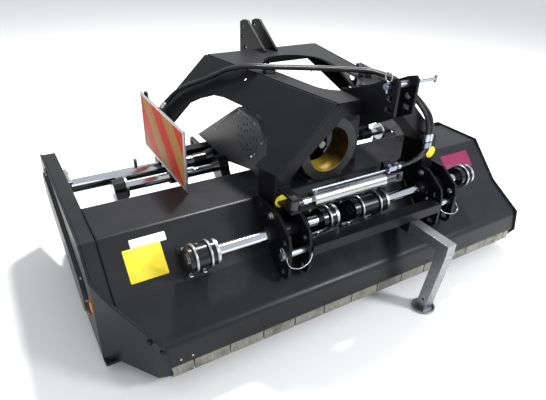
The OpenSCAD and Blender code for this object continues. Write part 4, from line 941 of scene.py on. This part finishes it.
class MOWER_OT_hood_trim(bpy.types.Operator):
    """Bare coloured sheets, bolts and weld beads on the hood and its ends"""

    bl_idname = "mower.hood_trim"
    bl_label = "Hood trim"

    def execute(self, context):
        thick = settings("sheets").thickness
        for name, look, x, z, wide, tall in (
            ("yellow_sheet", "Yellow sheet", -958, 421, 0.146, 0.128),
            ("white_strip", "White sheet", -927, 477.5, 0.14, 0.035),
            ("crimson_patch", "Crimson sheet", 760, 452, 0.2, 0.09),
        ):
            mesh = bmesh.new()
            add_sheet(mesh, slope_place(x, z, 0.1), (1, 0, 0), SLOPE_UP, wide, tall, 0.004, thick)
            new_piece(name, mesh, look, "mower_body")
        bolts = bmesh.new()
        dark = bmesh.new()
        for x in (-942, -896):
            add_dome(bolts, lip_place(x, 160), LIP_OUT, 0.0042, 0.0025)
        for x in range(-596, 905, 300):
            add_dome(dark, lip_place(x, 156), LIP_OUT, 0.0035, 0.002)
        for x, z in ((-1031, 244), (-1001, 220)):
            add_bolt(dark, corner_place(x, z), (-CORNER_RUN, -CORNER_WIDE, 0), 0.02)
        for y, z in ((840, 238), (650, 168), (590, 150), (1040, 300), (1090, 420)):
            add_bolt(bolts, at(LEFT_FACE, y, z), (-1, 0, 0), 0.017)
        # Flush screws, so that nothing stands out past the right end plate
        flush = [(0.0105, 0.0), (0.0105, 0.0003), (0.0045, 0.0003), (0.004, 0.0001), (0.0, 0.0001)]
        for y, z in ((60, 250), (330, 330), (620, 400), (900, 250), (500, 120), (760, 120)):
            add_turned(bolts, flush, at(RIGHT_FACE, y, z), (1, 0, 0), 24)
        new_piece("hood_bolts", bolts, "Bright zinc", "mower_body")
        new_piece("corner_bolts", dark, "Frame coat", "mower_body")
        welds = bmesh.new()
        for start, end in (
            ((956, -60, 238), (956, 112, 344)),
            ((956, 118, 346), (956, 276, 508)),
            ((-1104, 300, 516), (-1104, 520, 516)),
        ):
            add_weld(welds, at(*start), at(*end), 0.0022)
        new_piece("hood_welds", welds, "Hood coat", "mower_body")
        return {"FINISHED"}


# Faces of the outer and inner hitch plates, either side of the headstock's middle
OUTER_PLATE = 465.5
INNER_PLATE = 359.5
# Weld beads either side of the middle: X, both ends as Y and Z, and radius
HEADSTOCK_WELDS = [
    (439.8, (132, 546), (132, 680), 0.0018),
    (OUTER_PLATE, (131, 505), (240, 505), 0.002),
    (39.5, (135, 942.5), (235, 942.5), 0.0022),
    (52.5, (135, 942.5), (235, 942.5), 0.0022),
    (42, (935, 942.5), (1010, 942.5), 0.0022),
]
# Wire that keeps the linch pin with its clevis
PIN_WIRE = [
    (467, -28, 416), (475, -36, 404), (470, -56, 388), (440, -68, 380), (405, -66, 384),
    (372, -52, 396), (356, -30, 418), (353, -8, 428),
]


class MOWER_OT_hitch(bpy.types.Operator):
    """Bolts, retaining wires, discs and weld beads of the headstock"""

    bl_idname = "mower.hitch"
    bl_label = "Hitch hardware"

    def execute(self, context):
        metal = bmesh.new()
        dark = bmesh.new()
        welds = bmesh.new()
        discs = bmesh.new()
        disc = [(0.028, 0.0), (0.028, 0.0005), (0.0276, 0.0008), (0.0, 0.0008)]
        for x, z in ((-411, 573), (418, 617)):
            add_turned(discs, disc, at(x, 129, z), (0, -1, 0), 40)
        new_piece("yellow_discs", discs, "Yellow sheet", "headstock")
        for side in (-1, 1):
            outer = side * OUTER_PLATE
            inner = side * INNER_PLATE
            # Round heads on the inner plate
            add_dome(metal, at(inner, 61, 454), (-side, 0, 0), 0.014, 0.009)
            add_dome(metal, at(inner, 46, 418), (-side, 0, 0), 0.012, 0.008)
            add_bolt(metal, at(inner, 108, 530), (-side, 0, 0), 0.025)
            add_bolt(metal, at(outer, 108, 530), (side, 0, 0), 0.025)
            for y, z in ((150, 515), (190, 540)):
                add_bolt(dark, at(outer, y, z), (side, 0, 0), 0.02)
            route = rounded_route([at(side * x, y, z) for x, y, z in PIN_WIRE])
            add_tube(metal, route, 0.0017, 8)
            for x, start, end, size in HEADSTOCK_WELDS:
                add_weld(welds, at(side * x, *start), at(side * x, *end), size)
        for x in (-340, 340):
            add_weld(welds, at(x, -44, 440.5), at(x, 12, 440.5), 0.0022)
        new_piece("hitch_bolts", metal, "Bright zinc", "headstock")
        new_piece("hitch_dark_bolts", dark, "Frame coat", "headstock")
        new_piece("headstock_welds", welds, "Frame coat", "headstock")
        return {"FINISHED"}


# Side faces of the gearbox guard with the way each looks, and its upper edge as Y and Z
GUARD_FACES = ((-337, -1), (197, 1))
GUARD_EDGE = [(400, 725), (460, 785), (650, 785), (900, 615)]


class MOWER_OT_drive(bpy.types.Operator):
    """Round head bolts and folded rims of the gearbox guard"""

    bl_idname = "mower.drive"
    bl_label = "Guard hardware"

    def execute(self, context):
        metal = bmesh.new()
        rims = bmesh.new()
        for x, way in GUARD_FACES:
            for y, z in ((420, 545), (422, 690), (488, 758), (640, 758), (900, 582)):
                add_dome(metal, at(x, y, z), (way, 0, 0), 0.0065, 0.0032)
            for start, end in zip(GUARD_EDGE, GUARD_EDGE[1:]):
                middle = at(x, (start[0] + end[0]) / 2, (start[1] + end[1]) / 2)
                span = at(x, *end) - at(x, *start)
                along = span.normalized()
                inward = Vector((way, 0, 0)).cross(along).normalized()
                inward = inward * (-1 if inward.z > 0 else 1)
                across = along if along.cross(inward).x * way > 0 else -along
                width = span.length - 0.004
                add_sheet(rims, middle + inward * 0.009, across, inward, width, 0.012, 0.002, 0.0012)
        new_piece("guard_rims", rims, "Guard plastic", "mower_body")
        new_piece("guard_bolts", metal, "Bright zinc", "mower_body")
        return {"FINISHED"}


# Name, place, width, power and colour of the studio's lights, and the place they all look at
LIGHTS = [
    ("Key", (1.3, 1.9, 4.8), 0.7, 420, (1.0, 0.99, 0.97)),
    ("Front", (-1.2, -4.2, 3.4), 2.6, 25, (0.95, 0.97, 1.0)),
    ("Fold", (2.2, -3.3, 2.7), 0.9, 150, (0.93, 0.95, 1.0)),
    ("Low left", (-4.5, 0.8, 1.6), 2.2, 6, (0.95, 0.97, 1.0)),
]
LIGHTS_LOOK_AT = Vector((0, 0, 0.4))
FLOOR_REACH = 14
FLOOR_GAP = 0.0005
AIR_TINT = (0.95, 0.97, 1.0, 1)
AIR_STRENGTH = 0.8
# The photograph's camera: width and focal length in pixels, turns in radians, and place
PHOTO_WIDTH = 546
FOCAL_PIXELS = 480.438
SENSOR_WIDTH = 36.0
CAMERA_TURN, CAMERA_DROP, CAMERA_ROLL = 0.555971, 0.534362, -0.0408418
CAMERA_PLACE = (-1310.8, -1258.1, 1554.4)


def add_floor(pale):
    w = new_material("Studio floor", roughness=0.75)
    w.put(w.mix(w.noise(0.6, 3.0), shade(pale, 0.97), pale), w.shader.inputs["Base Color"])
    mesh = bmesh.new()
    bmesh.ops.create_grid(mesh, x_segments=2, y_segments=2, size=FLOOR_REACH)
    floor = add_mesh("studio_floor", mesh, "Studio floor")
    floor.location.z = -FLOOR_GAP


def add_lights(strength):
    for name, place, size, power, tint in LIGHTS:
        data = bpy.data.lights.new(name, "AREA")
        data.shape = "DISK"
        data.size = size
        data.energy = power * strength
        data.color = tint
        light = add_object(name, data)
        light.location = place
        light.rotation_euler = (LIGHTS_LOOK_AT - Vector(place)).to_track_quat("-Z", "Y").to_euler()


def camera_matrix():
    """The camera's place, turned from +Y toward +X, dropped, then rolled."""
    flat = math.cos(CAMERA_DROP)
    ahead = Vector((math.sin(CAMERA_TURN) * flat, math.cos(CAMERA_TURN) * flat, -math.sin(CAMERA_DROP)))
    level = Vector((math.cos(CAMERA_TURN), -math.sin(CAMERA_TURN), 0))
    plumb = ahead.cross(level)
    right = math.cos(CAMERA_ROLL) * level + math.sin(CAMERA_ROLL) * plumb
    down = -math.sin(CAMERA_ROLL) * level + math.cos(CAMERA_ROLL) * plumb
    matrix = Matrix((right, -down, -ahead)).transposed().to_4x4()
    matrix.translation = at(*CAMERA_PLACE)
    return matrix


class MOWER_OT_stage(bpy.types.Operator):
    """Pale floor, soft studio lights and the photograph's camera"""

    bl_idname = "mower.stage"
    bl_label = "Stage"

    def execute(self, context):
        stage = settings("stage")
        add_floor(stage.floor)
        world = bpy.data.worlds.new("Studio air")
        world.use_nodes = True
        air = world.node_tree.nodes["Background"].inputs
        air["Color"].default_value = AIR_TINT
        air["Strength"].default_value = AIR_STRENGTH
        context.scene.world = world
        context.scene.view_settings.view_transform = "Standard"
        add_lights(stage.light)
        data = bpy.data.cameras.new("Photograph")
        data.sensor_width = SENSOR_WIDTH
        data.lens = FOCAL_PIXELS / PHOTO_WIDTH * SENSOR_WIDTH
        data.clip_start = 0.05
        camera = add_object("Photograph", data)
        camera.matrix_world = camera_matrix()
        context.scene.camera = camera
        return {"FINISHED"}


class MOWER_PT_panel(bpy.types.Panel):
    """Lists the mower's settings and pieces"""

    bl_label = "Flail Mower"
    bl_idname = "MOWER_PT_panel"
    bl_space_type = "VIEW_3D"
    bl_region_type = "UI"
    bl_category = "Mower"

    def draw(self, context):
        for name in SETTINGS:
            part = settings(name)
            box = self.layout.box()
            for key in part.bl_rna.properties.keys():
                if key not in ("rna_type", "name"):
                    box.prop(part, key)
        for piece in PIECES:
            self.layout.operator(piece.bl_idname)


SETTINGS = {
    "coats": CoatSettings,
    "hoses": HoseSettings,
    "boards": BoardSettings,
    "sheets": SheetSettings,
    "stage": StageSettings,
}
PIECES = [
    MOWER_OT_coats, MOWER_OT_hoses, MOWER_OT_cylinder, MOWER_OT_boards, MOWER_OT_hood_trim,
    MOWER_OT_hitch, MOWER_OT_drive, MOWER_OT_stage,
]


def register():
    for name, part in SETTINGS.items():
        bpy.utils.register_class(part)
        setattr(bpy.types.Scene, "mower_" + name, PointerProperty(type=part))
    for piece in PIECES:
        bpy.utils.register_class(piece)
    bpy.utils.register_class(MOWER_PT_panel)


def unregister():
    bpy.utils.unregister_class(MOWER_PT_panel)
    for piece in reversed(PIECES):
        bpy.utils.unregister_class(piece)
    for name, part in SETTINGS.items():
        delattr(bpy.types.Scene, "mower_" + name)
        bpy.utils.unregister_class(part)


def main():
    register()
    for piece in PIECES:
        group, name = piece.bl_idname.split(".")
        getattr(getattr(bpy.ops, group), name)()


if __name__ == "__main__":
    main()
